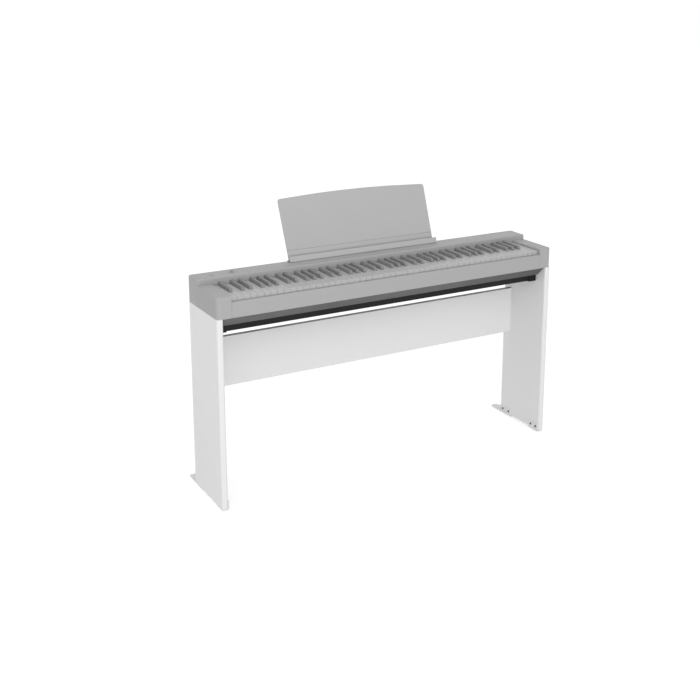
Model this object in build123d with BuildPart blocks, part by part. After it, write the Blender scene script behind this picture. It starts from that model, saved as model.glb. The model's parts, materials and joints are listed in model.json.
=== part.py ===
from build123d import *
import os
from math import cos, radians, sin, tan

os.makedirs("parts", exist_ok=True)

# Keyboard
note_count = 88
first_step = 9
key_pitch = 23.5
key_gap = 1.0
natural_length = 150.0
natural_head = 52.0
key_height = 20.0
key_skin = 2.5
key_wall = 1.8
key_chamfer = 0.6
key_lip = 1.2
sharp_width = 10.6
sharp_rise = 12.0
sharp_slope = 7.0
sharp_chamfer = 1.0
sharp_taper = 0.8
sharp_gap = 1.1
pair_shift = 2.4
triple_shift = 3.2
key_dip = 10.0
single_octave = 4

# Key tails, pivots and what the keys meet
tail_width = 9.0
tail_height = 17.0
tail_drop = 5.0
tail_overhang = 9.0
pivot_setback = 17.6
notch_depth = 6.0
notch_half_angle = 50.0
ridge_half_angle = 40.0
ridge_height = 8.0
pressed_gap = 0.3
guide_gap = 0.4
guide_depth = 8.0
guide_setback = 11.0
felt_thickness = 3.0
felt_depth = 9.0
presser_setback = 114.0
presser_width = 4.0
dome_height = 8.0
dome_size = 6.0
dome_taper = 12.0
strip_thickness = 1.2
board_thickness = 1.6
contact_board_depth = 40.0
spring_thickness = 0.6
spring_seat = 8.0
spring_reach = 27.0
spring_rise = 2.0
spring_slot = 4.0
spring_pivot_gap = 8.0

# Piano case
case_wall = 2.5
cheek_width = 51.2
cheek_gap = 0.8
cheek_height = 73.0
cheek_corner_radius = 16.0
cheek_edge_radius = 3.0
slip_depth = 11.0
slip_height = 52.0
slip_edge_radius = 5.0
slip_foot = 16.0
slip_end_gap = 0.4
key_top_height = 65.0
key_front_gap = 1.6
fascia_gap = 1.0
fascia_flange = 15.0
cover_height = 90.5
cover_depth = 79.4
cover_corner_radius = 10.0
cover_edge_radius = 4.0
back_rim = 8.0
case_drop = 36.0
case_front_inset = 10.0
case_front_lip = 4.0
case_front_slope = 34.0
case_back_lip = 14.0
case_back_slope = 20.0
case_side_gap = 2.0

# Keyboard frame inside the case
frame_end_gap = 1.5
frame_base_drop = 23.0
frame_sheet = 3.0
frame_front_leg = 35.0
frame_back_leg = 140.0
frame_foot = 14.0

# Controls in the cover and the board below them
controls_setback = 38.0
function_button_count = 3
function_button_pitch = 16.0
function_button_middle = 10.0
function_button_width = 11.0
function_button_depth = 6.0
power_button_radius = 6.0
power_button_inset = 68.0
button_rise = 1.2
button_travel = 1.0
button_gap = 0.35
button_flange = 1.2
button_flange_edge = 1.4
plunger_radius = 1.8
volume_inset = 140.0
volume_travel = 40.0
volume_knob_width = 8.0
volume_knob_depth = 14.0
volume_knob_rise = 4.5
volume_stem_width = 4.0
volume_stem_depth = 1.6
panel_board_drop = 12.0
panel_board_depth = 24.0
panel_board_margin = 20.0
switch_size = 6.0
switch_height = 3.5
fader_depth = 9.0
fader_height = 4.0
fader_margin = 8.0
boss_radius = 3.0

# Music rest
rest_width = 600.0
rest_height = 219.0
rest_arch = 10.0
rest_thickness = 3.5
rest_lean = 21.0
rest_setback = 9.0
rest_corner_radius = 10.0
rest_side_taper = 4.0
rest_lift = 1.7
rest_tongue_width = 560.0
slot_depth = 13.0
slot_gap = 0.3
slot_wall = 2.0
ledge_overhang = 1.0
ledge_height = 2.0
ledge_depth = 18.0
ledge_thickness = 3.0
ledge_lip = 9.0
ledge_skirt = 5.5

# Electronics and sound
speaker_offset = 430.0
speaker_setback = 111.0
speaker_length = 124.0
speaker_width = 72.0
speaker_rim = 3.0
speaker_edge = 7.0
speaker_cone = 20.0
cone_taper = 18.0
magnet_radius = 22.0
magnet_height = 13.0
grille_slot_count = 9
grille_slot_width = 4.0
grille_slot_pitch = 9.0
grille_slot_length = 50.0
main_board_width = 170.0
main_board_depth = 60.0
main_board_lift = 24.0
main_board_corner = 7.0
chip_count = 3
chip_pitch = 48.0
chip_width = 18.0
chip_depth = 12.0
chip_height = 1.8
jack_middle = 197.0
jack_plate_width = 124.0
jack_plate_gap = 0.3
data_plate_width = 26.0
jack_height = 10.5
jack_radius = 3.25
jack_barrel_radius = 5.5
jack_barrel_length = 14.0
jack_pitch = 26.0
dc_radius = 2.75
dc_pin_radius = 1.0
port_depth = 10.0
usb_width = 12.0
usb_height = 10.6
socket_shell = 1.0

# Stand
panel_thickness = 22.0
panel_height = 645.0
panel_edge_radius = 8.0
pad_thickness = 2.0
foot_thickness = 5.0
foot_inset = 2.0
foot_tab_height = 31.0
foot_tab_thickness = 2.5
front_foot_start = 4.0
front_foot_length = 56.0
back_foot_start = 172.0
back_foot_tab = 63.0
foot_screw_inset = 13.5
foot_screw_lift = 17.0
stabiliser_reach = 53.0
stabiliser_root = 14.0
stabiliser_tip = 6.0
stabiliser_gap = 0.5
pad_length = 30.0
pad_margin = 4.0
rail_height = 21.0
rail_depth = 34.0
rail_wall = 1.5
rail_corner_radius = 2.0
front_rail_setback = 56.0
back_rail_setback = 160.0
rail_clearance = 0.2
bracket_thickness = 2.0
bracket_length = 32.0
bracket_ear = 36.0
bracket_screw_inset = 10.5
apron_setback = 197.0
apron_thickness = 15.0
apron_bottom = 350.0
apron_height = 175.0
edge_band_thickness = 1.2
corner_bracket_leg = 22.0
corner_bracket_height = 30.0
corner_bracket_thickness = 2.5
corner_bracket_margin = 18.0

# Fasteners and pads
screw_radius = 2.0
screw_head_radius = 4.0
screw_head_height = 2.2
screw_bite = 12.0
screw_gap = 0.1
thumb_radius = 9.0
thumb_height = 5.0
thumb_shank_radius = 3.0
thumb_offset = 300.0
thumb_bite = 12.0
thumb_boss_radius = 7.0
rubber_foot_radius = 11.0
rubber_foot_height = 3.0
rubber_foot_offset = 520.0
case_screw_pitch = 240.0
case_screw_count = 5

# Notes of the keyboard and their places across it
natural_steps = (0, 2, 4, 5, 7, 9, 11)
sharp_shift = {1: -pair_shift, 3: pair_shift, 6: -triple_shift, 8: 0.0, 10: triple_shift}
step_names = ("c", "c_sharp", "d", "d_sharp", "e", "f", "f_sharp", "g", "g_sharp", "a", "a_sharp", "b")


def step_of(note):
    """The note's step in its octave, counted from C."""
    return (note + first_step) % 12


def octave_of(note):
    """The number of the octave that the note belongs to."""
    return (note + first_step) // 12


def is_natural(note):
    """Whether the note is a natural."""
    return step_of(note) in natural_steps


natural_notes = [note for note in range(note_count) if is_natural(note)]
keyboard_width = len(natural_notes) * key_pitch


def natural_left(note):
    """The left edge of a natural's own pitch."""
    return natural_notes.index(note) * key_pitch - keyboard_width / 2


def sharp_centre(note):
    """The middle of a sharp, set off from the joint of its two neighbours."""
    return natural_left(note + 1) + sharp_shift[step_of(note)]


def stem_span(note):
    """The left and right edges of a natural where it runs between the sharps."""
    left = natural_left(note) + key_gap / 2
    right = left + key_pitch - key_gap
    if note > 0 and not is_natural(note - 1):
        left = sharp_centre(note - 1) + sharp_width / 2 + sharp_gap
    if note < note_count - 1 and not is_natural(note + 1):
        right = sharp_centre(note + 1) - sharp_width / 2 - sharp_gap
    return left, right


def key_centre(note):
    """The middle of a key's tail."""
    if is_natural(note):
        return sum(stem_span(note)) / 2
    return sharp_centre(note)


# Widths
body_half = keyboard_width / 2 + cheek_gap + cheek_width
panel_inner = body_half - panel_thickness
panel_middle = body_half - panel_thickness / 2
cheek_inner = keyboard_width / 2 + cheek_gap
lower_half = panel_inner - case_side_gap
frame_half = cheek_inner - frame_end_gap

# Depths, with the origin midway between the front face and the top of the music rest
lean_sine = sin(radians(rest_lean))
lean_cosine = cos(radians(rest_lean))
cover_start = slip_depth + key_front_gap + natural_length + fascia_gap
body_depth = cover_start + cover_depth
rest_reach = (rest_height + rest_arch) * lean_sine + rest_thickness * lean_cosine
y_front = -(body_depth - rest_setback + rest_reach) / 2
y_back = y_front + body_depth
y_key_front = y_front + slip_depth + key_front_gap
y_shoulder = y_key_front + natural_head
y_sharp_front = y_shoulder + sharp_gap
y_key_rear = y_key_front + natural_length
y_cover_front = y_front + cover_start
y_pivot = y_back - pivot_setback
y_tail_end = y_pivot + tail_overhang
y_presser = y_key_front + presser_setback
y_controls = y_cover_front + controls_setback
y_rest = y_back - rest_setback

# Heights, with the floor at zero
panel_bottom = pad_thickness + foot_thickness
panel_top = panel_bottom + panel_height
body_bottom = panel_top
natural_top = body_bottom + key_top_height
sharp_top = natural_top + sharp_rise
key_bottom = natural_top - key_height
tail_top = natural_top - tail_drop
tail_bottom = tail_top - tail_height
z_pivot = tail_bottom + notch_depth
cover_top = body_bottom + cover_height
floor_bottom = body_bottom - case_drop
floor_top = floor_bottom + case_wall
rail_top = floor_bottom - rubber_foot_height
frame_base = key_bottom - frame_base_drop
flange_bottom = tail_top + pressed_gap + felt_thickness
panel_board_top = cover_top - case_wall - panel_board_drop

# How far the keys go down at their front edge, at the pressers and over the springs
key_reach = y_pivot - y_key_front
slip_felt_top = key_bottom - key_dip - pressed_gap
dome_top = key_bottom - key_dip * (y_pivot - y_presser) / key_reach - pressed_gap
contact_board_top = dome_top - dome_height - strip_thickness
y_spring_tip = y_pivot - spring_pivot_gap
y_spring_start = y_spring_tip - spring_reach
spring_tip_top = tail_bottom - key_dip * spring_pivot_gap / key_reach - pressed_gap
spring_base_top = spring_tip_top - spring_rise


def block(x0, x1, y0, y1):
    """A rectangle between two corners of the sketch being drawn."""
    with Locations(((x0 + x1) / 2, (y0 + y1) / 2)):
        Rectangle(x1 - x0, y1 - y0)


def save(piece, label):
    """Label one finished piece and write it to a file of its own."""
    piece.part.label = label
    export_step(piece.part, f"parts/{label}.step")


def notch_points():
    """The V notch in a key's tail, which sits over the pivot ridge."""
    drop = notch_depth + pressed_gap
    half = drop * tan(radians(notch_half_angle))
    base = z_pivot - drop
    return (y_pivot, z_pivot), (y_pivot - half, base), (y_pivot + half, base)


def build_naturals(label, notes):
    """White keys: hollow T shaped levers with a front lip, a presser web and a notched tail."""
    with BuildPart() as keys:
        with BuildSketch(Plane.XY.offset(natural_top)):
            for note in notes:
                left = natural_left(note) + key_gap / 2
                stem_left, stem_right = stem_span(note)
                block(left, left + key_pitch - key_gap, y_key_front, y_shoulder)
                block(stem_left, stem_right, y_key_front, y_key_rear)
        extrude(amount=-key_height)
        chamfer(keys.faces().filter_by(Plane.XY).group_by(Axis.Z)[-1].edges(), key_chamfer)
        with BuildSketch(Plane.XY.offset(key_bottom)):
            block(-body_half, body_half, y_key_front, y_key_front + key_lip)
            for note in notes:
                left = natural_left(note) + key_gap / 2 + key_wall
                right = natural_left(note) + key_pitch - key_gap / 2 - key_wall
                stem_left, stem_right = stem_span(note)
                inner = (stem_left + key_wall, stem_right - key_wall)
                front = y_key_front + key_lip + key_wall
                block(left, right, front, y_shoulder - key_wall)
                block(*inner, front, y_presser - presser_width / 2)
                block(*inner, y_presser + presser_width / 2, y_key_rear - key_wall)
        extrude(amount=key_height - key_skin, mode=Mode.SUBTRACT)
        with BuildSketch(Plane.XY.offset(tail_bottom)):
            for note in notes:
                middle = key_centre(note)
                block(middle - tail_width / 2, middle + tail_width / 2, y_key_rear - key_wall, y_tail_end)
        extrude(amount=tail_height)
        with BuildSketch(Plane.YZ):
            with BuildLine():
                Polyline(*notch_points(), close=True)
            make_face()
        extrude(amount=body_half, both=True, mode=Mode.SUBTRACT)
    save(keys, label)


def build_sharps(label, notes):
    """Black keys: hollow levers with a sloped nose, tapered sides, a presser web and a notched tail."""
    with BuildPart() as keys:
        for note in notes:
            with BuildSketch(Plane.YZ.offset(sharp_centre(note))):
                with BuildLine():
                    Polyline(
                        (y_sharp_front, key_bottom),
                        (y_sharp_front, natural_top),
                        (y_sharp_front + sharp_slope, sharp_top),
                        (y_key_rear, sharp_top),
                        (y_key_rear, tail_top),
                        (y_tail_end, tail_top),
                        (y_tail_end, tail_bottom),
                        (y_key_rear, tail_bottom),
                        (y_key_rear, key_bottom),
                        close=True,
                    )
                make_face()
        extrude(amount=sharp_width / 2, both=True)
        with BuildSketch(Plane.XZ.offset(-y_key_rear)):
            for note in notes:
                for side in (-1, 1):
                    edge = sharp_centre(note) + side * sharp_width / 2
                    with BuildLine():
                        Polyline(
                            (edge, natural_top),
                            (edge, sharp_top),
                            (edge - side * sharp_taper, sharp_top),
                            close=True,
                        )
                    make_face()
        extrude(amount=natural_length, mode=Mode.SUBTRACT)
        chamfer(keys.faces().filter_by(Plane.XY).group_by(Axis.Z)[-1].edges(), sharp_chamfer)
        with BuildSketch(Plane.XY.offset(key_bottom)):
            for note in notes:
                inner = (sharp_centre(note) - sharp_width / 2 + key_wall,
                         sharp_centre(note) + sharp_width / 2 - key_wall)
                block(*inner, y_sharp_front + sharp_slope, y_presser - presser_width / 2)
                block(*inner, y_presser + presser_width / 2, y_key_rear - key_wall)
        extrude(amount=key_height + sharp_rise - key_skin, mode=Mode.SUBTRACT)
        with BuildSketch(Plane.YZ):
            with BuildLine():
                Polyline(*notch_points(), close=True)
            make_face()
        extrude(amount=body_half, both=True, mode=Mode.SUBTRACT)
    save(keys, label)


# Keys: one octave key by key, the others in groups of naturals and sharps
lowest_octave = octave_of(0) + 1
highest_octave = octave_of(note_count - 1) - 1
octave_groups = {}
for note in range(note_count):
    octave = min(max(octave_of(note), lowest_octave), highest_octave)
    octave_groups.setdefault(octave, []).append(note)

for octave, notes in octave_groups.items():
    if octave == single_octave:
        for note in notes:
            build = build_naturals if is_natural(note) else build_sharps
            build(f"key_{step_names[step_of(note)]}{octave}", [note])
    else:
        build_naturals(f"naturals_octave_{octave}", [note for note in notes if is_natural(note)])
        build_sharps(f"sharps_octave_{octave}", [note for note in notes if not is_natural(note)])

# Keyboard frame: one long moulding with the pivot ridge, the board ribs and a guide post in each key
y_frame_front = y_key_front
y_frame_back = y_tail_end
ridge_top = z_pivot - pressed_gap
ridge_half = ridge_height * tan(radians(ridge_half_angle))
spring_seat_top = spring_base_top - spring_thickness
contact_board_bottom = contact_board_top - board_thickness
y_board_front = y_presser - contact_board_depth / 2
y_board_back = y_presser + contact_board_depth / 2
guide_top = natural_top - key_skin - key_dip - pressed_gap
frame_legs = (y_key_front + frame_front_leg, y_key_front + frame_back_leg)

with BuildPart() as keyboard_frame:
    with BuildSketch(Plane.YZ):
        block(y_frame_front, y_frame_back, frame_base - frame_sheet, frame_base)
        block(y_frame_front, y_frame_front + felt_depth, frame_base, slip_felt_top - felt_thickness)
        for rib in (y_board_front, y_board_back - frame_sheet):
            block(rib, rib + frame_sheet, frame_base, contact_board_bottom)
        block(y_spring_start, y_spring_start + spring_seat, frame_base, spring_seat_top)
        block(y_pivot - ridge_half, y_pivot + ridge_half, frame_base, ridge_top - ridge_height)
        with BuildLine():
            Polyline(
                (y_pivot - ridge_half, ridge_top - ridge_height),
                (y_pivot + ridge_half, ridge_top - ridge_height),
                (y_pivot, ridge_top),
                close=True,
            )
        make_face()
        for leg in frame_legs:
            block(leg, leg + frame_sheet, floor_top, frame_base)
            block(leg, leg + frame_foot, floor_top, floor_top + frame_sheet)
    extrude(amount=frame_half, both=True)
    with BuildSketch(Plane.XY.offset(frame_base)):
        for note in range(note_count):
            if is_natural(note):
                middle = natural_left(note) + key_pitch / 2
                half = (key_pitch - key_gap) / 2 - key_wall - guide_gap
                start = y_key_front + guide_setback
            else:
                middle = sharp_centre(note)
                half = sharp_width / 2 - key_wall - guide_gap
                start = y_sharp_front + guide_setback
            block(middle - half, middle + half, start, start + guide_depth)
    extrude(amount=guide_top - frame_base)
    with BuildSketch(Plane.XY.offset(floor_top)):
        for leg in frame_legs:
            with Locations((0, leg + frame_foot - screw_head_radius)):
                with GridLocations(case_screw_pitch, 1, case_screw_count, 1):
                    Circle(screw_radius + screw_gap)
    extrude(amount=frame_sheet, mode=Mode.SUBTRACT)
save(keyboard_frame, "keyboard_frame")

# Felt strips that stop the keys at the top and at the bottom of their travel
with BuildPart() as key_felts:
    with BuildSketch(Plane.YZ):
        block(y_frame_front, y_frame_front + felt_depth, slip_felt_top - felt_thickness, slip_felt_top)
        block(y_cover_front + case_wall, y_cover_front + case_wall + felt_depth,
              flange_bottom - felt_thickness, flange_bottom)
    extrude(amount=frame_half, both=True)
save(key_felts, "key_felts")

# Comb of leaf springs under the tails of the keys
with BuildPart() as key_springs:
    with BuildSketch(Plane.YZ):
        with BuildLine():
            Polyline(
                (y_spring_start, spring_base_top - spring_thickness),
                (y_spring_start + spring_seat, spring_base_top - spring_thickness),
                (y_spring_tip, spring_tip_top - spring_thickness),
                (y_spring_tip, spring_tip_top),
                (y_spring_start + spring_seat, spring_base_top),
                (y_spring_start, spring_base_top),
                close=True,
            )
        make_face()
    extrude(amount=frame_half, both=True)
    with BuildSketch(Plane.XY.offset(spring_base_top - spring_thickness)):
        for note in range(note_count - 1):
            middle = (key_centre(note) + key_centre(note + 1)) / 2
            block(middle - spring_slot / 2, middle + spring_slot / 2,
                  y_spring_start + spring_seat, y_spring_tip)
    extrude(amount=spring_rise + spring_thickness, mode=Mode.SUBTRACT)
save(key_springs, "key_springs")

# Contact board with a rubber dome below each key
with BuildPart() as contact_board:
    with BuildSketch(Plane.YZ):
        block(y_board_front, y_board_back, contact_board_bottom, contact_board_top)
    extrude(amount=frame_half, both=True)
save(contact_board, "contact_board")

with BuildPart() as contact_domes:
    with BuildSketch(Plane.YZ):
        block(y_presser - dome_size, y_presser + dome_size,
              contact_board_top, contact_board_top + strip_thickness)
    extrude(amount=frame_half, both=True)
    with BuildSketch(Plane.XY.offset(contact_board_top + strip_thickness)):
        for note in range(note_count):
            with Locations((key_centre(note), y_presser)):
                Rectangle(dome_size, dome_size)
    extrude(amount=dome_height, taper=dome_taper)
save(contact_domes, "contact_domes")

# Lower case: an open tray with a slanted front and back, slots below the speakers and screw bosses
speaker_places = [(side * speaker_offset, y_front + speaker_setback) for side in (-1, 1)]
rail_starts = (y_front + front_rail_setback, y_front + back_rail_setback)
thumb_places = [(side * thumb_offset, rail_starts[1] + rail_depth / 2) for side in (-1, 1)]
main_board_middle = (jack_middle, y_back - case_wall - jack_barrel_length - main_board_depth / 2)
main_board_bottom = floor_top + main_board_lift
floor_back = y_back - case_back_slope

with BuildPart() as lower_case:
    with BuildSketch(Plane.YZ):
        with BuildLine():
            Polyline(
                (y_front + case_front_inset, body_bottom),
                (y_front + case_front_inset, body_bottom - case_front_lip),
                (y_front + case_front_inset + case_front_slope, floor_bottom),
                (floor_back, floor_bottom),
                (y_back, body_bottom - case_back_lip),
                (y_back, body_bottom),
                close=True,
            )
        make_face()
    extrude(amount=lower_half, both=True)
    offset(amount=-case_wall, openings=lower_case.faces().sort_by(Axis.Z)[-1])
    with BuildSketch(Plane.XY.offset(floor_top)):
        with Locations(*thumb_places):
            Circle(thumb_boss_radius)
    extrude(amount=thumb_bite)
    with BuildSketch(Plane.XY.offset(floor_top)):
        with Locations(main_board_middle):
            with GridLocations(main_board_width - 2 * main_board_corner,
                               main_board_depth - 2 * main_board_corner, 2, 2):
                Circle(boss_radius)
    extrude(amount=main_board_lift)
    with BuildSketch(Plane.XY.offset(floor_bottom)):
        with Locations(*thumb_places):
            Circle(thumb_shank_radius + screw_gap)
    extrude(amount=thumb_bite, mode=Mode.SUBTRACT)
    with BuildSketch(Plane.XY.offset(floor_bottom)):
        with Locations(*speaker_places):
            with GridLocations(grille_slot_pitch, 1, grille_slot_count, 1):
                SlotOverall(grille_slot_length, grille_slot_width, rotation=90)
        for leg in frame_legs:
            with Locations((0, leg + frame_foot - screw_head_radius)):
                with GridLocations(case_screw_pitch, 1, case_screw_count, 1):
                    Circle(screw_radius + screw_gap)
    extrude(amount=case_wall, mode=Mode.SUBTRACT)
save(lower_case, "lower_case")

# Top cover: the raised rear deck with its back rim, key opening, rest slot and control holes
deck_bottom = cover_top - case_wall
cavity_half = lower_half - case_wall
function_places = [
    (function_button_middle + step * function_button_pitch, y_controls)
    for step in range(-(function_button_count // 2), function_button_count // 2 + 1)
]
power_place = (power_button_inset - body_half, y_controls)
volume_place = (volume_inset - body_half, y_controls)
board_left = power_place[0] - panel_board_margin
board_right = function_places[-1][0] + panel_board_margin
board_screw_places = [
    (x, y_controls + panel_board_depth / 2 - boss_radius)
    for x in (board_left + boss_radius, (board_left + board_right) / 2, board_right - boss_radius)
]
rest_side = Plane(origin=(0, y_rest, cover_top), x_dir=(0, lean_cosine, -lean_sine), z_dir=(1, 0, 0))
jack_level = body_bottom + jack_height
jack_plate_left = jack_middle - jack_plate_width / 2
jack_plate_right = jack_middle + jack_plate_width / 2
data_plate_left = jack_plate_right + jack_plate_gap
data_plate_right = data_plate_left + data_plate_width
back_panel_top = cover_top - back_rim

with BuildPart() as top_cover:
    with BuildSketch(Plane.XY.offset(body_bottom)) as deck:
        block(-body_half, body_half, y_cover_front, y_back)
        fillet(deck.vertices().group_by(Axis.Y)[-1], cover_corner_radius)
    extrude(amount=cover_height)
    fillet(top_cover.faces().sort_by(Axis.Z)[-1].edges(), cover_edge_radius)
    with BuildSketch(Plane.XY.offset(body_bottom)):
        block(-cavity_half, cavity_half, y_cover_front + case_wall, y_back - case_wall)
    extrude(amount=cover_height - case_wall, mode=Mode.SUBTRACT)
    with BuildSketch(Plane.XZ.offset(-y_back)):
        block(-cavity_half, cavity_half, body_bottom, back_panel_top)
    extrude(amount=case_wall, mode=Mode.SUBTRACT)
    with BuildSketch(Plane.YZ):
        block(y_cover_front, y_cover_front + case_wall, body_bottom, flange_bottom)
    extrude(amount=cheek_inner, both=True, mode=Mode.SUBTRACT)
    with BuildSketch(Plane.YZ):
        block(y_cover_front, y_cover_front + fascia_flange, flange_bottom, flange_bottom + case_wall)
    extrude(amount=cheek_inner, both=True)
    with BuildSketch(rest_side):
        block(-slot_gap - slot_wall, rest_thickness + slot_gap + slot_wall,
              -slot_depth - slot_gap - slot_wall, -slot_wall)
    extrude(amount=rest_tongue_width / 2 + slot_gap + slot_wall, both=True)
    with BuildSketch(rest_side):
        block(-slot_gap, rest_thickness + slot_gap, -slot_depth - slot_gap, slot_depth)
    extrude(amount=rest_tongue_width / 2 + slot_gap, both=True, mode=Mode.SUBTRACT)
    with BuildSketch(Plane.XY.offset(panel_board_top)):
        with Locations(*board_screw_places):
            Circle(boss_radius)
    extrude(amount=panel_board_drop)
    with BuildSketch(Plane.XY.offset(deck_bottom)):
        with Locations(*function_places):
            Rectangle(function_button_width + 2 * button_gap, function_button_depth + 2 * button_gap)
        with Locations(power_place):
            Circle(power_button_radius + button_gap)
        with Locations(volume_place):
            Rectangle(volume_travel + volume_stem_width + 2 * button_gap,
                      volume_stem_depth + 2 * button_gap)
    extrude(amount=case_wall, mode=Mode.SUBTRACT)
save(top_cover, "top_cover")

# Back panels of the case, on both sides of the plates with the sockets
with BuildPart() as back_panels:
    with BuildSketch(Plane.XZ.offset(-y_back)):
        block(-cavity_half, jack_plate_left - jack_plate_gap, body_bottom, back_panel_top)
        block(data_plate_right + jack_plate_gap, cavity_half, body_bottom, back_panel_top)
    extrude(amount=case_wall)
save(back_panels, "back_panels")


def build_cheek(side, label):
    """End block beside the keys: a shell that is open towards the cover."""
    outer = side * body_half
    inner = side * cheek_inner
    with BuildPart() as cheek:
        with BuildSketch(Plane.XY.offset(body_bottom)) as plan:
            block(min(outer, inner), max(outer, inner), y_front, y_cover_front)
            corner = plan.vertices().group_by(Axis.Y)[0].sort_by(Axis.X)[0 if side < 0 else -1]
            fillet(corner, cheek_corner_radius)
        extrude(amount=cheek_height)
        rim = cheek.faces().sort_by(Axis.Z)[-1].edges()
        fillet(rim.sort_by(Axis.Y)[:-1], cheek_edge_radius)
        with BuildSketch(Plane.XZ.offset(-y_cover_front)):
            block(min(outer, inner) + case_wall, max(outer, inner) - case_wall,
                  body_bottom + case_wall, body_bottom + cheek_height - case_wall - cheek_edge_radius)
        extrude(amount=cover_start - cheek_corner_radius, mode=Mode.SUBTRACT)
    save(cheek, label)


build_cheek(-1, "left_cheek")
build_cheek(1, "right_cheek")

# Key slip: the channel shaped strip in front of the keys
slip_top = body_bottom + slip_height
with BuildPart() as key_slip:
    with BuildSketch(Plane.YZ) as section:
        block(y_front, y_front + case_wall, body_bottom, slip_top)
        block(y_front, y_front + slip_depth, slip_top - case_wall, slip_top)
        block(y_front, y_front + slip_foot, body_bottom, body_bottom + case_wall)
        fillet(section.vertices().group_by(Axis.Y)[-1].sort_by(Axis.X)[0], slip_edge_radius)
    extrude(amount=cheek_inner - slip_end_gap, both=True)
save(key_slip, "key_slip")

# Board below the controls, with a switch for each button and the track of the volume control
panel_board_bottom = panel_board_top - board_thickness
with BuildPart() as panel_board:
    with BuildSketch(Plane.XY.offset(panel_board_bottom)):
        block(board_left, board_right,
              y_controls - panel_board_depth / 2, y_controls + panel_board_depth / 2)
    extrude(amount=board_thickness)
    with BuildSketch(Plane.XY.offset(panel_board_top)):
        with Locations(power_place, *function_places):
            Rectangle(switch_size, switch_size)
    extrude(amount=switch_height)
    with BuildSketch(Plane.XY.offset(panel_board_top)):
        with Locations(volume_place):
            Rectangle(volume_travel + volume_stem_width + 2 * fader_margin, fader_depth)
    extrude(amount=fader_height)
save(panel_board, "panel_board")

# Push buttons: a cap in its hole, a flange that stays below the deck and a plunger over the switch
plunger_bottom = panel_board_top + switch_height + button_travel + pressed_gap / 2
flange_top = deck_bottom - pressed_gap


def build_function_button(number, place):
    """One of the small rectangular buttons in the middle of the deck."""
    edge = 2 * button_flange_edge
    with BuildPart() as button:
        with BuildSketch(Plane.XY.offset(flange_top)):
            with Locations(place):
                Rectangle(function_button_width, function_button_depth)
        extrude(amount=cover_top + button_rise - flange_top)
        chamfer(button.faces().sort_by(Axis.Z)[-1].edges(), key_chamfer)
        with BuildSketch(Plane.XY.offset(flange_top)):
            with Locations(place):
                Rectangle(function_button_width + edge, function_button_depth + edge)
        extrude(amount=-button_flange)
        with BuildSketch(Plane.XY.offset(plunger_bottom)):
            with Locations(place):
                Circle(plunger_radius)
        extrude(amount=flange_top - plunger_bottom)
    save(button, f"function_button_{number}")


for number, place in enumerate(function_places, start=1):
    build_function_button(number, place)

with BuildPart() as power_button:
    with BuildSketch(Plane.XY.offset(flange_top)):
        with Locations(power_place):
            Circle(power_button_radius)
    extrude(amount=cover_top + button_rise - flange_top)
    chamfer(power_button.faces().sort_by(Axis.Z)[-1].edges(), key_chamfer)
    with BuildSketch(Plane.XY.offset(flange_top)):
        with Locations(power_place):
            Circle(power_button_radius + button_flange_edge)
    extrude(amount=-button_flange)
    with BuildSketch(Plane.XY.offset(plunger_bottom)):
        with Locations(power_place):
            Circle(plunger_radius)
    extrude(amount=flange_top - plunger_bottom)
save(power_button, "power_button")

# Volume control: a grooved knob on a flat stem that runs in the slot of the deck
knob_bottom = cover_top + pressed_gap
with BuildPart() as volume_knob:
    with BuildSketch(Plane.XY.offset(knob_bottom)):
        with Locations(volume_place):
            Rectangle(volume_knob_width, volume_knob_depth)
    extrude(amount=volume_knob_rise)
    chamfer(volume_knob.faces().sort_by(Axis.Z)[-1].edges(), sharp_chamfer)
    with BuildSketch(Plane.XY.offset(panel_board_top + fader_height + pressed_gap)):
        with Locations(volume_place):
            Rectangle(volume_stem_width, volume_stem_depth)
    extrude(amount=knob_bottom - panel_board_top - fader_height - pressed_gap)
save(volume_knob, "volume_knob")

# Music rest: an arched plate with a lipped ledge above the deck, standing in the cover's slot by its tongue
rest_face = Plane(origin=(0, y_rest, cover_top), x_dir=(1, 0, 0), z_dir=(0, -lean_cosine, lean_sine))
rest_half = rest_width / 2
ledge_half = rest_half + ledge_overhang
ledge_top = ledge_height + ledge_thickness

with BuildPart() as music_rest:
    with BuildSketch(rest_face) as plate:
        with BuildLine():
            Polyline((rest_half, rest_height), (rest_half - rest_side_taper, rest_lift),
                     (rest_side_taper - rest_half, rest_lift), (-rest_half, rest_height))
            ThreePointArc((-rest_half, rest_height), (0, rest_height + rest_arch), (rest_half, rest_height))
        make_face()
        corners = plate.vertices().filter_by(lambda vertex: abs(vertex.Y - rest_height) < rest_arch / 2)
        fillet(corners, rest_corner_radius)
        block(-rest_tongue_width / 2, rest_tongue_width / 2, -slot_depth, rest_lift)
    extrude(amount=-rest_thickness)
    with BuildSketch(rest_face.offset(-rest_thickness)):
        block(-ledge_half, ledge_half, ledge_height, ledge_top)
    extrude(amount=rest_thickness + ledge_depth)
    with BuildSketch(rest_face.offset(ledge_depth)):
        block(-ledge_half, ledge_half, -ledge_skirt, ledge_top + ledge_lip)
    extrude(amount=-ledge_thickness)
save(music_rest, "music_rest")

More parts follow.
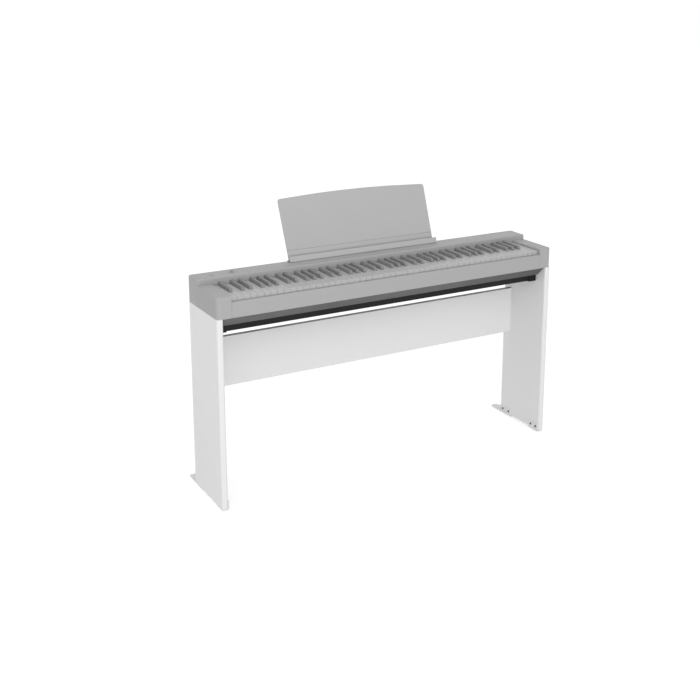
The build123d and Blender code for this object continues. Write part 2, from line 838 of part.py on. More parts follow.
# Oval loudspeakers that face down: a rim, a tapered basket open to the slots and a magnet
cone_base = floor_top + speaker_rim
with BuildPart() as speakers:
    with BuildSketch(Plane.XY.offset(floor_top)):
        with Locations(*speaker_places):
            SlotOverall(speaker_length, speaker_width)
    extrude(amount=speaker_rim)
    with BuildSketch(Plane.XY.offset(cone_base)):
        with Locations(*speaker_places):
            SlotOverall(speaker_length - 2 * speaker_edge, speaker_width - 2 * speaker_edge)
    extrude(amount=speaker_cone, taper=cone_taper)
    with BuildSketch(Plane.XY.offset(cone_base + speaker_cone)):
        with Locations(*speaker_places):
            Circle(magnet_radius)
    extrude(amount=magnet_height)
    with BuildSketch(Plane.XY.offset(floor_top)):
        with Locations(*speaker_places):
            SlotOverall(speaker_length - 4 * speaker_edge, speaker_width - 4 * speaker_edge)
    extrude(amount=speaker_cone, taper=cone_taper, mode=Mode.SUBTRACT)
save(speakers, "speakers")

# Main board on its posts
with BuildPart() as main_board:
    with BuildSketch(Plane.XY.offset(main_board_bottom)):
        with Locations(main_board_middle):
            Rectangle(main_board_width, main_board_depth)
    extrude(amount=board_thickness)
    with BuildSketch(Plane.XY.offset(main_board_bottom + board_thickness)):
        with Locations(main_board_middle):
            with GridLocations(chip_pitch, 1, chip_count, 1):
                Rectangle(chip_width, chip_depth)
    extrude(amount=chip_height)
save(main_board, "main_board")

# Jack plate in the back: two headphone jacks, a pedal jack and the power inlet
jack_places = [(jack_middle + step * jack_pitch, jack_level) for step in (-1.5, -0.5, 0.5)]
dc_place = (jack_middle + 1.5 * jack_pitch, jack_level)

with BuildPart() as jack_plate:
    with BuildSketch(Plane.XZ.offset(-y_back)):
        block(jack_plate_left, jack_plate_right, body_bottom, back_panel_top)
    extrude(amount=case_wall)
    with BuildSketch(Plane.XZ.offset(case_wall - y_back)):
        with Locations(*jack_places, dc_place):
            Circle(jack_barrel_radius)
    extrude(amount=jack_barrel_length)
    with BuildSketch(Plane.XZ.offset(-y_back)):
        with Locations(*jack_places):
            Circle(jack_radius)
    extrude(amount=jack_barrel_length, mode=Mode.SUBTRACT)
    with BuildSketch(Plane.XZ.offset(-y_back)):
        with Locations(dc_place):
            Circle(dc_radius)
            Circle(dc_pin_radius, mode=Mode.SUBTRACT)
    extrude(amount=port_depth, mode=Mode.SUBTRACT)
save(jack_plate, "jack_plate")

# Data socket: a narrow plate beside the jack plate, with a shell around the port behind it
usb_place = ((data_plate_left + data_plate_right) / 2, jack_level)
with BuildPart() as data_socket:
    with BuildSketch(Plane.XZ.offset(-y_back)):
        block(data_plate_left, data_plate_right, body_bottom, back_panel_top)
    extrude(amount=case_wall)
    with BuildSketch(Plane.XZ.offset(-y_back)):
        with Locations(usb_place):
            Rectangle(usb_width + 2 * socket_shell, usb_height + 2 * socket_shell)
    extrude(amount=port_depth + socket_shell)
    with BuildSketch(Plane.XZ.offset(-y_back)):
        with Locations(usb_place):
            Rectangle(usb_width, usb_height)
    extrude(amount=port_depth, mode=Mode.SUBTRACT)
save(data_socket, "data_socket")

# Stand: the places of the screws on the inner faces of its side panels
rail_bottom = rail_top - rail_height
plate_outline = bracket_thickness + rail_clearance
bracket_screw_places = [
    (start + rail_depth + plate_outline + along, (rail_top + rail_bottom) / 2)
    for start in rail_starts
    for along in (bracket_screw_inset, bracket_ear - bracket_screw_inset)
]
y_apron = y_front + apron_setback
y_apron_back = y_apron + apron_thickness
apron_top = apron_bottom + apron_height
corner_heights = (
    apron_bottom + corner_bracket_margin,
    apron_top - corner_bracket_margin - corner_bracket_height,
)
corner_screw_places = [
    (y_apron_back + corner_bracket_thickness + corner_bracket_leg / 2, height + corner_bracket_height / 2)
    for height in corner_heights
]
board_screw_seats = [
    (side * (panel_inner - corner_bracket_leg / 2), height + corner_bracket_height / 2)
    for side in (-1, 1)
    for height in corner_heights
]
foot_tabs = ((y_front + front_foot_start, front_foot_length), (y_front + back_foot_start, back_foot_tab))
foot_screw_places = [
    (start + along, pad_thickness + foot_screw_lift)
    for start, length in foot_tabs
    for along in (foot_screw_inset, length - foot_screw_inset)
]


def build_side_panel(side, label):
    """Side panel of the stand, with rounded upright edges and pilot holes on its inner face."""
    with BuildPart() as panel:
        with BuildSketch(Plane.XY.offset(panel_bottom)):
            with Locations((side * panel_middle, y_front + body_depth / 2)):
                RectangleRounded(panel_thickness, body_depth, panel_edge_radius)
        extrude(amount=panel_height)
        with BuildSketch(Plane.YZ.offset(side * panel_inner)):
            with Locations(*bracket_screw_places, *corner_screw_places, *foot_screw_places):
                Circle(screw_radius + screw_gap)
        extrude(amount=side * screw_bite, mode=Mode.SUBTRACT)
    save(panel, label)


build_side_panel(-1, "left_side_panel")
build_side_panel(1, "right_side_panel")

# Rear board between the side panels, with a dark band on its top edge
with BuildPart() as rear_board:
    with BuildSketch(Plane.YZ):
        block(y_apron, y_apron_back, apron_bottom, apron_top)
    extrude(amount=panel_inner, both=True)
    with BuildSketch(Plane.XZ.offset(-y_apron_back)):
        with Locations(*board_screw_seats):
            Circle(screw_radius + screw_gap)
    extrude(amount=screw_bite, mode=Mode.SUBTRACT)
save(rear_board, "rear_board")

with BuildPart() as board_edge_band:
    with BuildSketch(Plane.YZ):
        block(y_apron, y_apron_back, apron_top, apron_top + edge_band_thickness)
    extrude(amount=panel_inner, both=True)
save(board_edge_band, "board_edge_band")


def build_rail(start, label):
    """Steel tube between the side panels, on which the piano stands."""
    with BuildPart() as rail:
        with BuildSketch(Plane.YZ):
            with Locations((start + rail_depth / 2, rail_top - rail_height / 2)):
                RectangleRounded(rail_depth, rail_height, rail_corner_radius)
                Rectangle(rail_depth - 2 * rail_wall, rail_height - 2 * rail_wall, mode=Mode.SUBTRACT)
        extrude(amount=panel_inner - bracket_thickness, both=True)
        with BuildSketch(Plane.XY.offset(rail_bottom)):
            with Locations(*thumb_places):
                Circle(thumb_shank_radius + screw_gap)
        extrude(amount=rail_height, mode=Mode.SUBTRACT)
    save(rail, label)


build_rail(rail_starts[0], "front_rail")
build_rail(rail_starts[1], "rear_rail")

# Brackets that hold the rail ends: a screwed plate and a sleeve below and beside the tube
with BuildPart() as rail_brackets:
    for side in (-1, 1):
        for start in rail_starts:
            with BuildSketch(Plane.YZ.offset(side * panel_inner)):
                block(start - plate_outline, start + rail_depth + plate_outline + bracket_ear,
                      rail_bottom - plate_outline, rail_top)
            extrude(amount=-side * bracket_thickness)
            with BuildSketch(Plane.YZ.offset(side * (panel_inner - bracket_thickness))):
                block(start - plate_outline, start + rail_depth + plate_outline,
                      rail_bottom - plate_outline, rail_bottom - rail_clearance)
                block(start - plate_outline, start - rail_clearance, rail_bottom - plate_outline, rail_top)
                block(start + rail_depth + rail_clearance, start + rail_depth + plate_outline,
                      rail_bottom - plate_outline, rail_top)
            extrude(amount=side * (bracket_thickness - bracket_length))
        with BuildSketch(Plane.YZ.offset(side * panel_inner)):
            with Locations(*bracket_screw_places):
                Circle(screw_radius + screw_gap)
        extrude(amount=-side * bracket_thickness, mode=Mode.SUBTRACT)
save(rail_brackets, "rail_brackets")

# Angle brackets behind the rear board
with BuildPart() as corner_brackets:
    for side in (-1, 1):
        near = panel_inner - corner_bracket_thickness
        far = panel_inner - corner_bracket_leg - corner_bracket_thickness
        for height in corner_heights:
            with BuildSketch(Plane.XY.offset(height)):
                block(*sorted((side * panel_inner, side * far)), y_apron_back,
                      y_apron_back + corner_bracket_thickness)
                block(*sorted((side * panel_inner, side * near)), y_apron_back,
                      y_apron_back + corner_bracket_thickness + corner_bracket_leg)
            extrude(amount=corner_bracket_height)
        with BuildSketch(Plane.YZ.offset(side * panel_inner)):
            with Locations(*corner_screw_places):
                Circle(screw_radius + screw_gap)
        extrude(amount=-side * corner_bracket_thickness, mode=Mode.SUBTRACT)
    with BuildSketch(Plane.XZ.offset(-y_apron_back)):
        with Locations(*board_screw_seats):
            Circle(screw_radius + screw_gap)
    extrude(amount=-corner_bracket_thickness, mode=Mode.SUBTRACT)
save(corner_brackets, "corner_brackets")

# Feet: angle plates below and inside the side panels, the rear ones with a stabiliser behind the panel
foot_inner = panel_inner - foot_tab_thickness
foot_outer = body_half - foot_inset
y_stabiliser = y_back + stabiliser_gap
y_tip = y_back + stabiliser_reach


def build_feet(tab, label, stabilised):
    """A pair of feet: a sole below each panel and a screwed tab on its inner face."""
    start, length = tab
    end = y_tip if stabilised else start + length
    with BuildPart() as feet:
        for side in (-1, 1):
            with BuildSketch(Plane.XY.offset(pad_thickness)):
                block(*sorted((side * foot_inner, side * foot_outer)), start, end)
            extrude(amount=foot_thickness)
            with BuildSketch(Plane.XY.offset(pad_thickness)):
                block(*sorted((side * foot_inner, side * panel_inner)), start, start + length)
            extrude(amount=foot_tab_height)
            if stabilised:
                with BuildSketch(Plane.YZ.offset(side * foot_inner)):
                    with BuildLine():
                        Polyline(
                            (y_stabiliser, pad_thickness),
                            (y_tip, pad_thickness),
                            (y_tip, pad_thickness + stabiliser_tip),
                            (y_stabiliser, pad_thickness + stabiliser_root),
                            close=True,
                        )
                    make_face()
                extrude(amount=side * (foot_outer - foot_inner))
            with BuildSketch(Plane.YZ.offset(side * panel_inner)):
                with Locations(*foot_screw_places):
                    Circle(screw_radius + screw_gap)
            extrude(amount=-side * foot_tab_thickness, mode=Mode.SUBTRACT)
    save(feet, label)


build_feet(foot_tabs[0], "front_feet", False)
build_feet(foot_tabs[1], "rear_feet", True)

# Rubber pads that the feet stand on
pad_starts = (foot_tabs[0][0] + pad_margin, foot_tabs[1][0] + pad_margin, y_tip - pad_margin - pad_length)
with BuildPart() as floor_pads:
    with BuildSketch(Plane.XY):
        for side in (-1, 1):
            near = side * (foot_inner + pad_margin)
            far = side * (foot_outer - pad_margin)
            for start in pad_starts:
                block(*sorted((near, far)), start, start + pad_length)
    extrude(amount=pad_thickness)
save(floor_pads, "floor_pads")

# Screws: through brackets and tabs into the panels and the rear board, and through the case into the frame
panel_screw_groups = (
    (bracket_screw_places, bracket_thickness),
    (foot_screw_places, foot_tab_thickness),
    (corner_screw_places, corner_bracket_thickness),
)
frame_screw_shank = case_wall + frame_sheet
with BuildPart() as screws:
    for side in (-1, 1):
        for places, plate in panel_screw_groups:
            with BuildSketch(Plane.YZ.offset(side * (panel_inner - plate))):
                with Locations(*places):
                    Circle(screw_head_radius)
            extrude(amount=-side * screw_head_height)
            with BuildSketch(Plane.YZ.offset(side * (panel_inner - plate))):
                with Locations(*places):
                    Circle(screw_radius)
            extrude(amount=side * (plate + screw_bite - screw_gap))
    with BuildSketch(Plane.XZ.offset(-y_apron_back - corner_bracket_thickness)):
        with Locations(*board_screw_seats):
            Circle(screw_head_radius)
    extrude(amount=-screw_head_height)
    with BuildSketch(Plane.XZ.offset(-y_apron_back - corner_bracket_thickness)):
        with Locations(*board_screw_seats):
            Circle(screw_radius)
    extrude(amount=corner_bracket_thickness + screw_bite - screw_gap)
    for radius, amount in ((screw_head_radius, -screw_head_height), (screw_radius, frame_screw_shank)):
        with BuildSketch(Plane.XY.offset(floor_bottom)):
            for leg in frame_legs:
                with Locations((0, leg + frame_foot - screw_head_radius)):
                    with GridLocations(case_screw_pitch, 1, case_screw_count, 1):
                        Circle(radius)
        extrude(amount=amount)
save(screws, "screws")

# Thumb screws from below the rear rail into the bosses of the lower case
with BuildPart() as thumb_screws:
    with BuildSketch(Plane.XY.offset(rail_bottom)):
        with Locations(*thumb_places):
            Circle(thumb_radius)
    extrude(amount=-thumb_height)
    chamfer(thumb_screws.faces().sort_by(Axis.Z)[: len(thumb_places)].edges(), key_chamfer)
    with BuildSketch(Plane.XY.offset(rail_bottom)):
        with Locations(*thumb_places):
            Circle(thumb_shank_radius)
    extrude(amount=floor_bottom + thumb_bite - screw_gap - rail_bottom)
save(thumb_screws, "thumb_screws")

# Rubber feet of the piano, on the rails
with BuildPart() as rubber_feet:
    with BuildSketch(Plane.XY.offset(rail_top)):
        with Locations(*[(side * rubber_foot_offset, start + rail_depth / 2)
                         for side in (-1, 1) for start in rail_starts]):
            Circle(rubber_foot_radius)
    extrude(amount=rubber_foot_height)
save(rubber_feet, "rubber_feet")
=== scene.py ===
"""Looks of a digital piano on a slab sided stand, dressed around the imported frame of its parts."""

import json
from math import pi, radians

import bpy
from bpy.props import FloatProperty, FloatVectorProperty, IntProperty, PointerProperty
from bpy.types import Operator, Panel, PropertyGroup
from mathutils import Matrix, Vector


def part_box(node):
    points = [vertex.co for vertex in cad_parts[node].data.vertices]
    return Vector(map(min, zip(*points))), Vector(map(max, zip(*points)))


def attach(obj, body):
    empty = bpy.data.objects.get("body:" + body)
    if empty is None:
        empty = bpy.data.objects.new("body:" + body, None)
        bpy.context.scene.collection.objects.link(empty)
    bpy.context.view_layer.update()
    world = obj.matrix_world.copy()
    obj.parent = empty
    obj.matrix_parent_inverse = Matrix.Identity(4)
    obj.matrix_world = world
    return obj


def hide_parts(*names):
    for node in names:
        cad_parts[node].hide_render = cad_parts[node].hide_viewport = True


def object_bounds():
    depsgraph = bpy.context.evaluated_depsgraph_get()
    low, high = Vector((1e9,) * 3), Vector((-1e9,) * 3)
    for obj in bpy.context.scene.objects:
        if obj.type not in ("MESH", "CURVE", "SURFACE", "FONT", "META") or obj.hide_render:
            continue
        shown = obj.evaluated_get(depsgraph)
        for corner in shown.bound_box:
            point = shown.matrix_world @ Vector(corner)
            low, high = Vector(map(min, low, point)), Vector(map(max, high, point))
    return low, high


bl_info = {
    "name": "Digital Piano on Stand",
    "version": (1, 0, 0),
    "blender": (4, 5, 0),
    "location": "3D View > Sidebar > Piano",
    "description": "Finishes, fittings and stage for a digital piano and its stand",
    "category": "Object",
}

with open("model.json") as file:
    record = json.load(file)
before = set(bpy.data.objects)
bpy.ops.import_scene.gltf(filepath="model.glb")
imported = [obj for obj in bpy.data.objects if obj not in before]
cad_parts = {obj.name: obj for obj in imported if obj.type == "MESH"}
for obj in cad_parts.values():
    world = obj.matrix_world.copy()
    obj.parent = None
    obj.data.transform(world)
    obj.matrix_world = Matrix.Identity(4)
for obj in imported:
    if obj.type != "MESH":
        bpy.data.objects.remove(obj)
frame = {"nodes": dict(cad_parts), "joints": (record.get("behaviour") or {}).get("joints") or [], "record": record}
cad_low, cad_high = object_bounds()

ROOT = "stand_and_case"
KEY_SLOTS = ("natural_key", "sharp_key")
BUTTONS = ("power_button", "function_button_1", "function_button_2", "function_button_3")
JACKS = ("headphone_jack_1", "headphone_jack_2", "pedal_jack")
UP = Vector((0.0, 0.0, 1.0))
DOWN = Vector((0.0, 0.0, -1.0))
BACKWARDS = Vector((0.0, 1.0, 0.0))
FLAT = 0.99
UPRIGHT = 0.1

# Sides of round pieces
SCREW_SIDES = 28
PLUNGER_SIDES = 24
BUTTON_SIDES = 40
COLLAR_SIDES = 40
THUMB_SIDES = 48

# Edges sharper than these stay sharp in the shading
SMOOTH_ANGLE = radians(40)
FLUTE_ANGLE = radians(30)
KNOB_ANGLE = radians(50)
BUTTON_ANGLE = radians(60)

# Values of the finishes and the camera
BUMP_STRENGTH = 0.6
FOOT_SHADE = 0.97
TRACK_SHADE = 2.2
SENSOR_WIDTH = 36.0

# What the frame says
slot_of = {row["node"]: row["material_slot"] for row in frame["record"]["subparts"]}
mounts = {mount["name"]: mount for mount in frame["record"]["mounts"]}
openings = {opening["name"]: opening for opening in frame["record"]["physics"]["openings"]}
deck_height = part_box("top_cover")[1].z
back_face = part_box("top_cover")[1].y


def colour(name, description, value):
    """A colour that can be picked in the sidebar."""
    return FloatVectorProperty(name=name, description=description, subtype="COLOR", size=3,
                               min=0.0, max=1.0, default=value)


def length(name, description, value):
    """A size in metres that can be set in the sidebar."""
    return FloatProperty(name=name, description=description, default=value, unit="LENGTH", precision=5)


def fraction(name, description, value):
    """A part of something else that can be set in the sidebar."""
    return FloatProperty(name=name, description=description, default=value, min=0.0, max=1.0,
                         subtype="FACTOR")


def angle(name, description, value):
    """An angle that can be set in the sidebar."""
    return FloatProperty(name=name, description=description, default=value, subtype="ANGLE")


def position(name, description, value):
    """A point in metres that can be set in the sidebar."""
    return FloatVectorProperty(name=name, description=description, size=3, default=value, subtype="XYZ",
                               unit="LENGTH")


def watts(name, description, value):
    """The power of a lamp that can be set in the sidebar."""
    return FloatProperty(name=name, description=description, default=value, subtype="POWER")


class PianoColours(PropertyGroup):
    """Base colours of the finishes."""
    laminate: colour("Laminate", "White board of the stand", (0.82, 0.82, 0.82))
    # The edge band's dark colour is partly painted shade: it paints the shadow that the piano casts on the board's
    # top edge, as well as a dark edge.
    edge_band: colour("Edge Band", "Dark band on top of the rear board", (0.12, 0.12, 0.125))
    rail: colour("Rails", "Black powder coat of rails and brackets", (0.009, 0.009, 0.0095))
    case: colour("Case", "Light grey moulded case", (0.41, 0.41, 0.41))
    rest: colour("Music Rest", "Light grey plate of the music rest", (0.47, 0.47, 0.47))
    lower_case: colour("Lower Case", "Dark tray below the keys", (0.10, 0.10, 0.102))
    natural: colour("Naturals", "Caps of the natural keys", (0.50, 0.50, 0.50))
    sharp: colour("Sharps", "Caps of the sharp keys", (0.25, 0.25, 0.252))
    button: colour("Buttons", "Push buttons and volume knob", (0.36, 0.36, 0.36))
    steel: colour("Steel", "Zinc plated brackets and springs", (0.60, 0.60, 0.61))
    screw: colour("Screws", "Dark oxide screws", (0.045, 0.045, 0.048))
    rubber: colour("Rubber", "Pads and feet", (0.035, 0.035, 0.036))
    silicone: colour("Silicone", "Contact domes", (0.30, 0.30, 0.32))
    felt: colour("Felt", "Stop felts of the keys", (0.30, 0.03, 0.035))
    circuit: colour("Circuit", "Circuit boards", (0.015, 0.10, 0.035))
    plastic: colour("Inner Plastic", "Keyboard frame, speakers and jack plate", (0.03, 0.03, 0.031))


class PianoEdges(PropertyGroup):
    """How far sharp edges are rounded."""
    panel: length("Panels", "Rounding of the stand's boards", 0.0010)
    case: length("Case", "Rounding of the moulded case", 0.0007)
    key: length("Keys", "Rounding of the key caps", 0.00035)
    metal: length("Metal", "Rounding of folded metal parts", 0.0004)
    segments: IntProperty(name="Segments", description="Steps in each rounding", default=2, min=1, max=6)
    sharp: angle("Sharp", "Only edges sharper than this are rounded", radians(32))
    flat: angle("Flat", "Faces that meet at less than this become one", radians(1))
    weld: length("Weld", "Distance at which loose triangles are joined", 0.000005)


class PianoFittings(PropertyGroup):
    """Small fittings modelled on the frame."""
    head_share: fraction("Head Share", "Height of a screw's head over its radius", 0.55)
    head_round: fraction("Head Rounding", "Rounded share of the height of a screw's head", 0.6)
    shank_share: fraction("Shank Share", "Radius of a screw's shank over that of its head", 0.5)
    recess_arm: length("Recess Arm", "Half length of a screw's cross recess", 0.0022)
    recess_width: length("Recess Width", "Width of a screw's cross recess", 0.0009)
    recess_depth: length("Recess Depth", "Depth of a screw's cross recess", 0.0012)
    recess_turn: angle("Recess Turn", "Turn of the cross recess from one screw to the next", 0.7)
    thumb_round: fraction("Thumb Rounding", "Rounded share of the height of a thumb screw's head", 0.2)
    thumb_shank: fraction("Thumb Shank", "Radius of a thumb screw's shank over that of its head", 0.333)
    flute_depth: length("Flute Depth", "Depth of the flutes on a thumb screw", 0.0006)
    flute_edge: length("Flute Edge", "Rim left round each flute on a thumb screw", 0.0002)
    dish_depth: length("Dish Depth", "Hollow in the top of a button", 0.0004)
    dish_edge: length("Dish Edge", "Rim left round the hollow of a button", 0.0012)
    dish_slope: length("Dish Slope", "Width of the slope into the hollow of a button", 0.0006)
    button_edge: length("Button Edge", "Rounding of a button's upper edge", 0.0004)
    knob_dish: length("Knob Dish", "Hollow in the top of the volume knob", 0.0008)
    ridge_count: IntProperty(name="Ridges", description="Grip ridges on the volume knob", default=5, min=1)
    ridge_width: length("Ridge Width", "Width of a grip ridge on the volume knob", 0.0007)
    ridge_pitch: length("Ridge Pitch", "Distance from one grip ridge to the next", 0.00133)
    ridge_inset: length("Ridge Inset", "How far the grip ridges end short of the knob's sides", 0.00175)
    ridge_round: length("Ridge Rounding", "Rounding of a grip ridge", 0.00021)
    ridge_root: length("Ridge Root", "Depth below the knob's rim where a grip ridge starts", 0.0012)
    ridge_drop: length("Ridge Drop", "How far a grip ridge stays below the knob's rim", 0.00012)
    collar_edge: length("Collar Edge", "Width of the metal collar round a jack", 0.0016)
    collar_rise: length("Collar Rise", "How far a jack collar stands out", 0.0007)
    collar_round: length("Collar Rounding", "Rounding of a jack collar", 0.00028)
    tongue_thickness: length("Tongue", "Thickness of the tongue in the data port", 0.0022)
    tongue_side: fraction("Tongue Side", "Share of the data port's width beside the tongue", 0.2)
    liner_wall: length("Liner", "Wall of the metal liner in the data port", 0.0004)
    port_room: length("Port Room", "Room that a plug leaves to the walls of the data port", 0.0005)
    band_start: length("Band Start", "Height of the rest's band at its lower edge", 0.0055)
    band_stop: length("Band Stop", "Height of the rest's band at its upper edge", 0.0387)
    band_thickness: length("Band", "How far the band stands out of the rest", 0.0014)
    band_edge: length("Band Edge", "Rounding of the band's edges", 0.00084)
    band_inset: length("Band Inset", "How far the band ends short of the ledge", 0.006)
    groove_edge: length("Groove Edge", "Bead left above the groove of the band", 0.0012)
    groove_width: length("Groove", "Width of the groove along the band", 0.0018)


class PianoStage(PropertyGroup):
    """Camera, floor and light."""
    eye: position("Camera", "Place of the camera", (-1.8741, -3.1547, 1.6804))
    yaw: angle("Yaw", "Turn of the camera to the right", radians(29.382))
    pitch: angle("Pitch", "Tilt of the camera downwards", radians(13.403))
    lens: FloatProperty(name="Lens", description="Focal length in millimetres", default=55.44)
    shift: FloatProperty(name="Shift", description="Upright shift of the lens", default=-0.16)
    floor_size: length("Floor", "Width of the floor", 40.0)
    floor_tone: colour("Floor Tone", "Colour of the floor", (0.80, 0.80, 0.80))
    floor_glow: fraction("Floor Glow", "Lift of the floor towards white", 0.46)
    sky: fraction("Sky", "Strength of the even light from all round", 0.73)
    key_place: position("Key Lamp", "Place of the key lamp, high up at the front left", (-2.6, -3.2, 3.4))
    key_size: length("Key Size", "Width of the key lamp", 2.6)
    key_power: watts("Key Power", "Power of the key lamp", 31.0)
    low_place: position("Low Lamp", "Place of the lamp near the floor at the front", (-1.6, -5.5, 0.5))
    low_size: length("Low Size", "Width of the lamp near the floor", 3.0)
    low_power: watts("Low Power", "Power of the lamp near the floor", 113.0)


SETTINGS = {
    "piano_colours": PianoColours,
    "piano_edges": PianoEdges,
    "piano_fittings": PianoFittings,
    "piano_stage": PianoStage,
}


def deselect():
    """Goes back to object mode with nothing selected."""
    if bpy.context.mode != "OBJECT":
        bpy.ops.object.mode_set(mode="OBJECT")
    bpy.ops.object.select_all(action="DESELECT")


def activate(piece):
    """Makes one piece the only selected and the active one."""
    deselect()
    piece.select_set(True)
    bpy.context.view_layer.objects.active = piece


def facing(way):
    """A test for flat faces that look one way."""
    return lambda face: face.normal.dot(way) > FLAT


def edit_faces(piece, wanted):
    """Opens edit mode with only the wanted faces selected."""
    activate(piece)
    mesh = piece.data
    for part in (mesh.vertices, mesh.edges, mesh.polygons):
        part.foreach_set("select", [False] * len(part))
    for polygon in mesh.polygons:
        polygon.select = wanted(polygon)
    bpy.context.tool_settings.mesh_select_mode = (False, False, True)
    bpy.ops.object.mode_set(mode="EDIT")


def edit_edges(piece, wanted):
    """Opens edit mode with only the wanted edges selected, judged by their two ends."""
    activate(piece)
    mesh = piece.data
    for part in (mesh.vertices, mesh.edges, mesh.polygons):
        part.foreach_set("select", [False] * len(part))
    for edge in mesh.edges:
        edge.select = wanted(*(mesh.vertices[index].co for index in edge.vertices))
    bpy.context.tool_settings.mesh_select_mode = (False, True, False)
    bpy.ops.object.mode_set(mode="EDIT")


def finish_mesh(piece, smooth_angle=SMOOTH_ANGLE):
    """Leaves edit mode, puts the piece's place in its mesh and smooths its round faces."""
    activate(piece)
    bpy.ops.object.transform_apply(location=True, rotation=True, scale=True)
    bpy.ops.object.mode_set(mode="EDIT")
    bpy.ops.mesh.select_all(action="SELECT")
    bpy.ops.mesh.normals_make_consistent(inside=False)
    bpy.ops.object.mode_set(mode="OBJECT")
    bpy.ops.object.shade_smooth_by_angle(angle=smooth_angle)


def add_cube(name, low, high):
    """A cube stretched between two corners, as the start of a piece."""
    deselect()
    low = Vector(low)
    high = Vector(high)
    bpy.ops.mesh.primitive_cube_add(size=1.0, location=(low + high) / 2, scale=high - low)
    piece = bpy.context.active_object
    piece.name = name
    bpy.ops.object.transform_apply(location=True, rotation=True, scale=True)
    return piece


def add_cylinder(name, low, high, sides):
    """An upright cylinder that fills the box between two corners, as the start of a piece."""
    deselect()
    low = Vector(low)
    high = Vector(high)
    bpy.ops.mesh.primitive_cylinder_add(vertices=sides, radius=(high.x - low.x) / 2, depth=high.z - low.z,
                                        location=(low + high) / 2)
    piece = bpy.context.active_object
    piece.name = name
    bpy.ops.object.transform_apply(location=True)
    return piece


def combine(piece, other, operation):
    """Unites a piece with another, or cuts the other out of it, and removes the other."""
    activate(piece)
    modifier = piece.modifiers.new("combine", "BOOLEAN")
    modifier.operation = operation
    modifier.solver = "EXACT"
    modifier.object = other
    bpy.ops.object.modifier_apply(modifier=modifier.name)
    bpy.data.objects.remove(other)


def join(pieces, name):
    """Joins pieces into one."""
    deselect()
    for piece in pieces:
        piece.select_set(True)
    bpy.context.view_layer.objects.active = pieces[0]
    bpy.ops.object.join()
    pieces[0].name = name
    return pieces[0]


def copy_to(piece, matrix):
    """A copy of a piece with its own mesh, moved by a matrix."""
    twin = piece.copy()
    twin.data = piece.data.copy()
    twin.data.transform(matrix)
    bpy.context.scene.collection.objects.link(twin)
    return twin


def seat(piece, body, slot, *nodes):
    """Puts a finished piece on its body, with its finish, in place of the CAD nodes it stands for."""
    piece.data.materials.clear()
    piece.data.materials.append(finish(slot))
    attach(piece, body)
    if nodes:
        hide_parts(*nodes)


def loose_boxes(node):
    """The lowest and highest corners of each separate solid in a CAD node."""
    mesh = frame["nodes"][node].data
    points = [tuple(round(value, 6) for value in vertex.co) for vertex in mesh.vertices]
    owner = {point: point for point in points}

    def root(point):
        while owner[point] != point:
            point = owner[point]
        return point

    for polygon in mesh.polygons:
        first = root(points[polygon.vertices[0]])
        for index in polygon.vertices[1:]:
            owner[root(points[index])] = first
    solids = {}
    for point in owner:
        solids.setdefault(root(point), []).append(point)
    boxes = []
    for group in solids.values():
        sides = list(zip(*group))
        boxes.append((Vector(map(min, sides)), Vector(map(max, sides))))
    return sorted(boxes, key=lambda box: tuple(box[0]))


def corner_heights(node):
    """The heights at which a CAD node has corners, from the lowest up."""
    return sorted({round(vertex.co.z, 5) for vertex in frame["nodes"][node].data.vertices})


def box_between(node, bottom, top):
    """The box around the corners that a CAD node has between two heights."""
    points = [vertex.co for vertex in frame["nodes"][node].data.vertices if bottom < vertex.co.z < top]
    sides = list(zip(*points))
    return Vector(map(min, sides)), Vector(map(max, sides))


def soften(node, width):
    """Welds a CAD node's loose triangles and rounds its sharp edges with live modifiers."""
    edges = bpy.context.scene.piano_edges
    piece = frame["nodes"][node]
    weld = piece.modifiers.new("weld", "WELD")
    weld.merge_threshold = edges.weld
    flat = piece.modifiers.new("flat_faces", "DECIMATE")
    flat.decimate_type = "DISSOLVE"
    flat.angle_limit = edges.flat
    bevel = piece.modifiers.new("soft_edges", "BEVEL")
    bevel.width = width
    bevel.segments = edges.segments
    bevel.limit_method = "ANGLE"
    bevel.angle_limit = edges.sharp
    bevel.use_clamp_overlap = True
    shading = piece.modifiers.new("even_shading", "WEIGHTED_NORMAL")
    shading.keep_sharp = False


def dress(nodes, width=0.0):
    """Gives CAD nodes their finish and, with a width, softer edges."""
    for node in nodes:
        piece = frame["nodes"][node]
        piece.data.materials.clear()
        piece.data.materials.append(finish(slot_of[node]))
        if width:
            soften(node, width)


def new_group(name, inputs, outputs):
    """An empty shader node group with named sockets, and its input and output nodes."""
    group = bpy.data.node_groups.new(name, "ShaderNodeTree")
    for label, kind in inputs:
        group.interface.new_socket(name=label, in_out="INPUT", socket_type=kind)
    for label, kind in outputs:
        group.interface.new_socket(name=label, in_out="OUTPUT", socket_type=kind)
    return group, group.nodes.new("NodeGroupInput"), group.nodes.new("NodeGroupOutput")


def grain_group():
    """Fine grain and large soft patches of a surface, built once."""
    if "surface_grain" in bpy.data.node_groups:
        return bpy.data.node_groups["surface_grain"]
    group, given, result = new_group(
        "surface_grain",
        (("Vector", "NodeSocketVector"), ("Grains per Metre", "NodeSocketFloat"),
         ("Patches per Metre", "NodeSocketFloat")),
        (("Height", "NodeSocketFloat"), ("Tone", "NodeSocketFloat")),
    )
    fine = group.nodes.new("ShaderNodeTexNoise")
    fine.inputs["Detail"].default_value = 3.0
    patch = group.nodes.new("ShaderNodeTexNoise")
    patch.inputs["Detail"].default_value = 5.0
    patch.inputs["Roughness"].default_value = 0.62
    for node, scale in ((fine, "Grains per Metre"), (patch, "Patches per Metre")):
        group.links.new(given.outputs["Vector"], node.inputs["Vector"])
        group.links.new(given.outputs[scale], node.inputs["Scale"])
    group.links.new(fine.outputs["Fac"], result.inputs["Height"])
    group.links.new(patch.outputs["Fac"], result.inputs["Tone"])
    return group


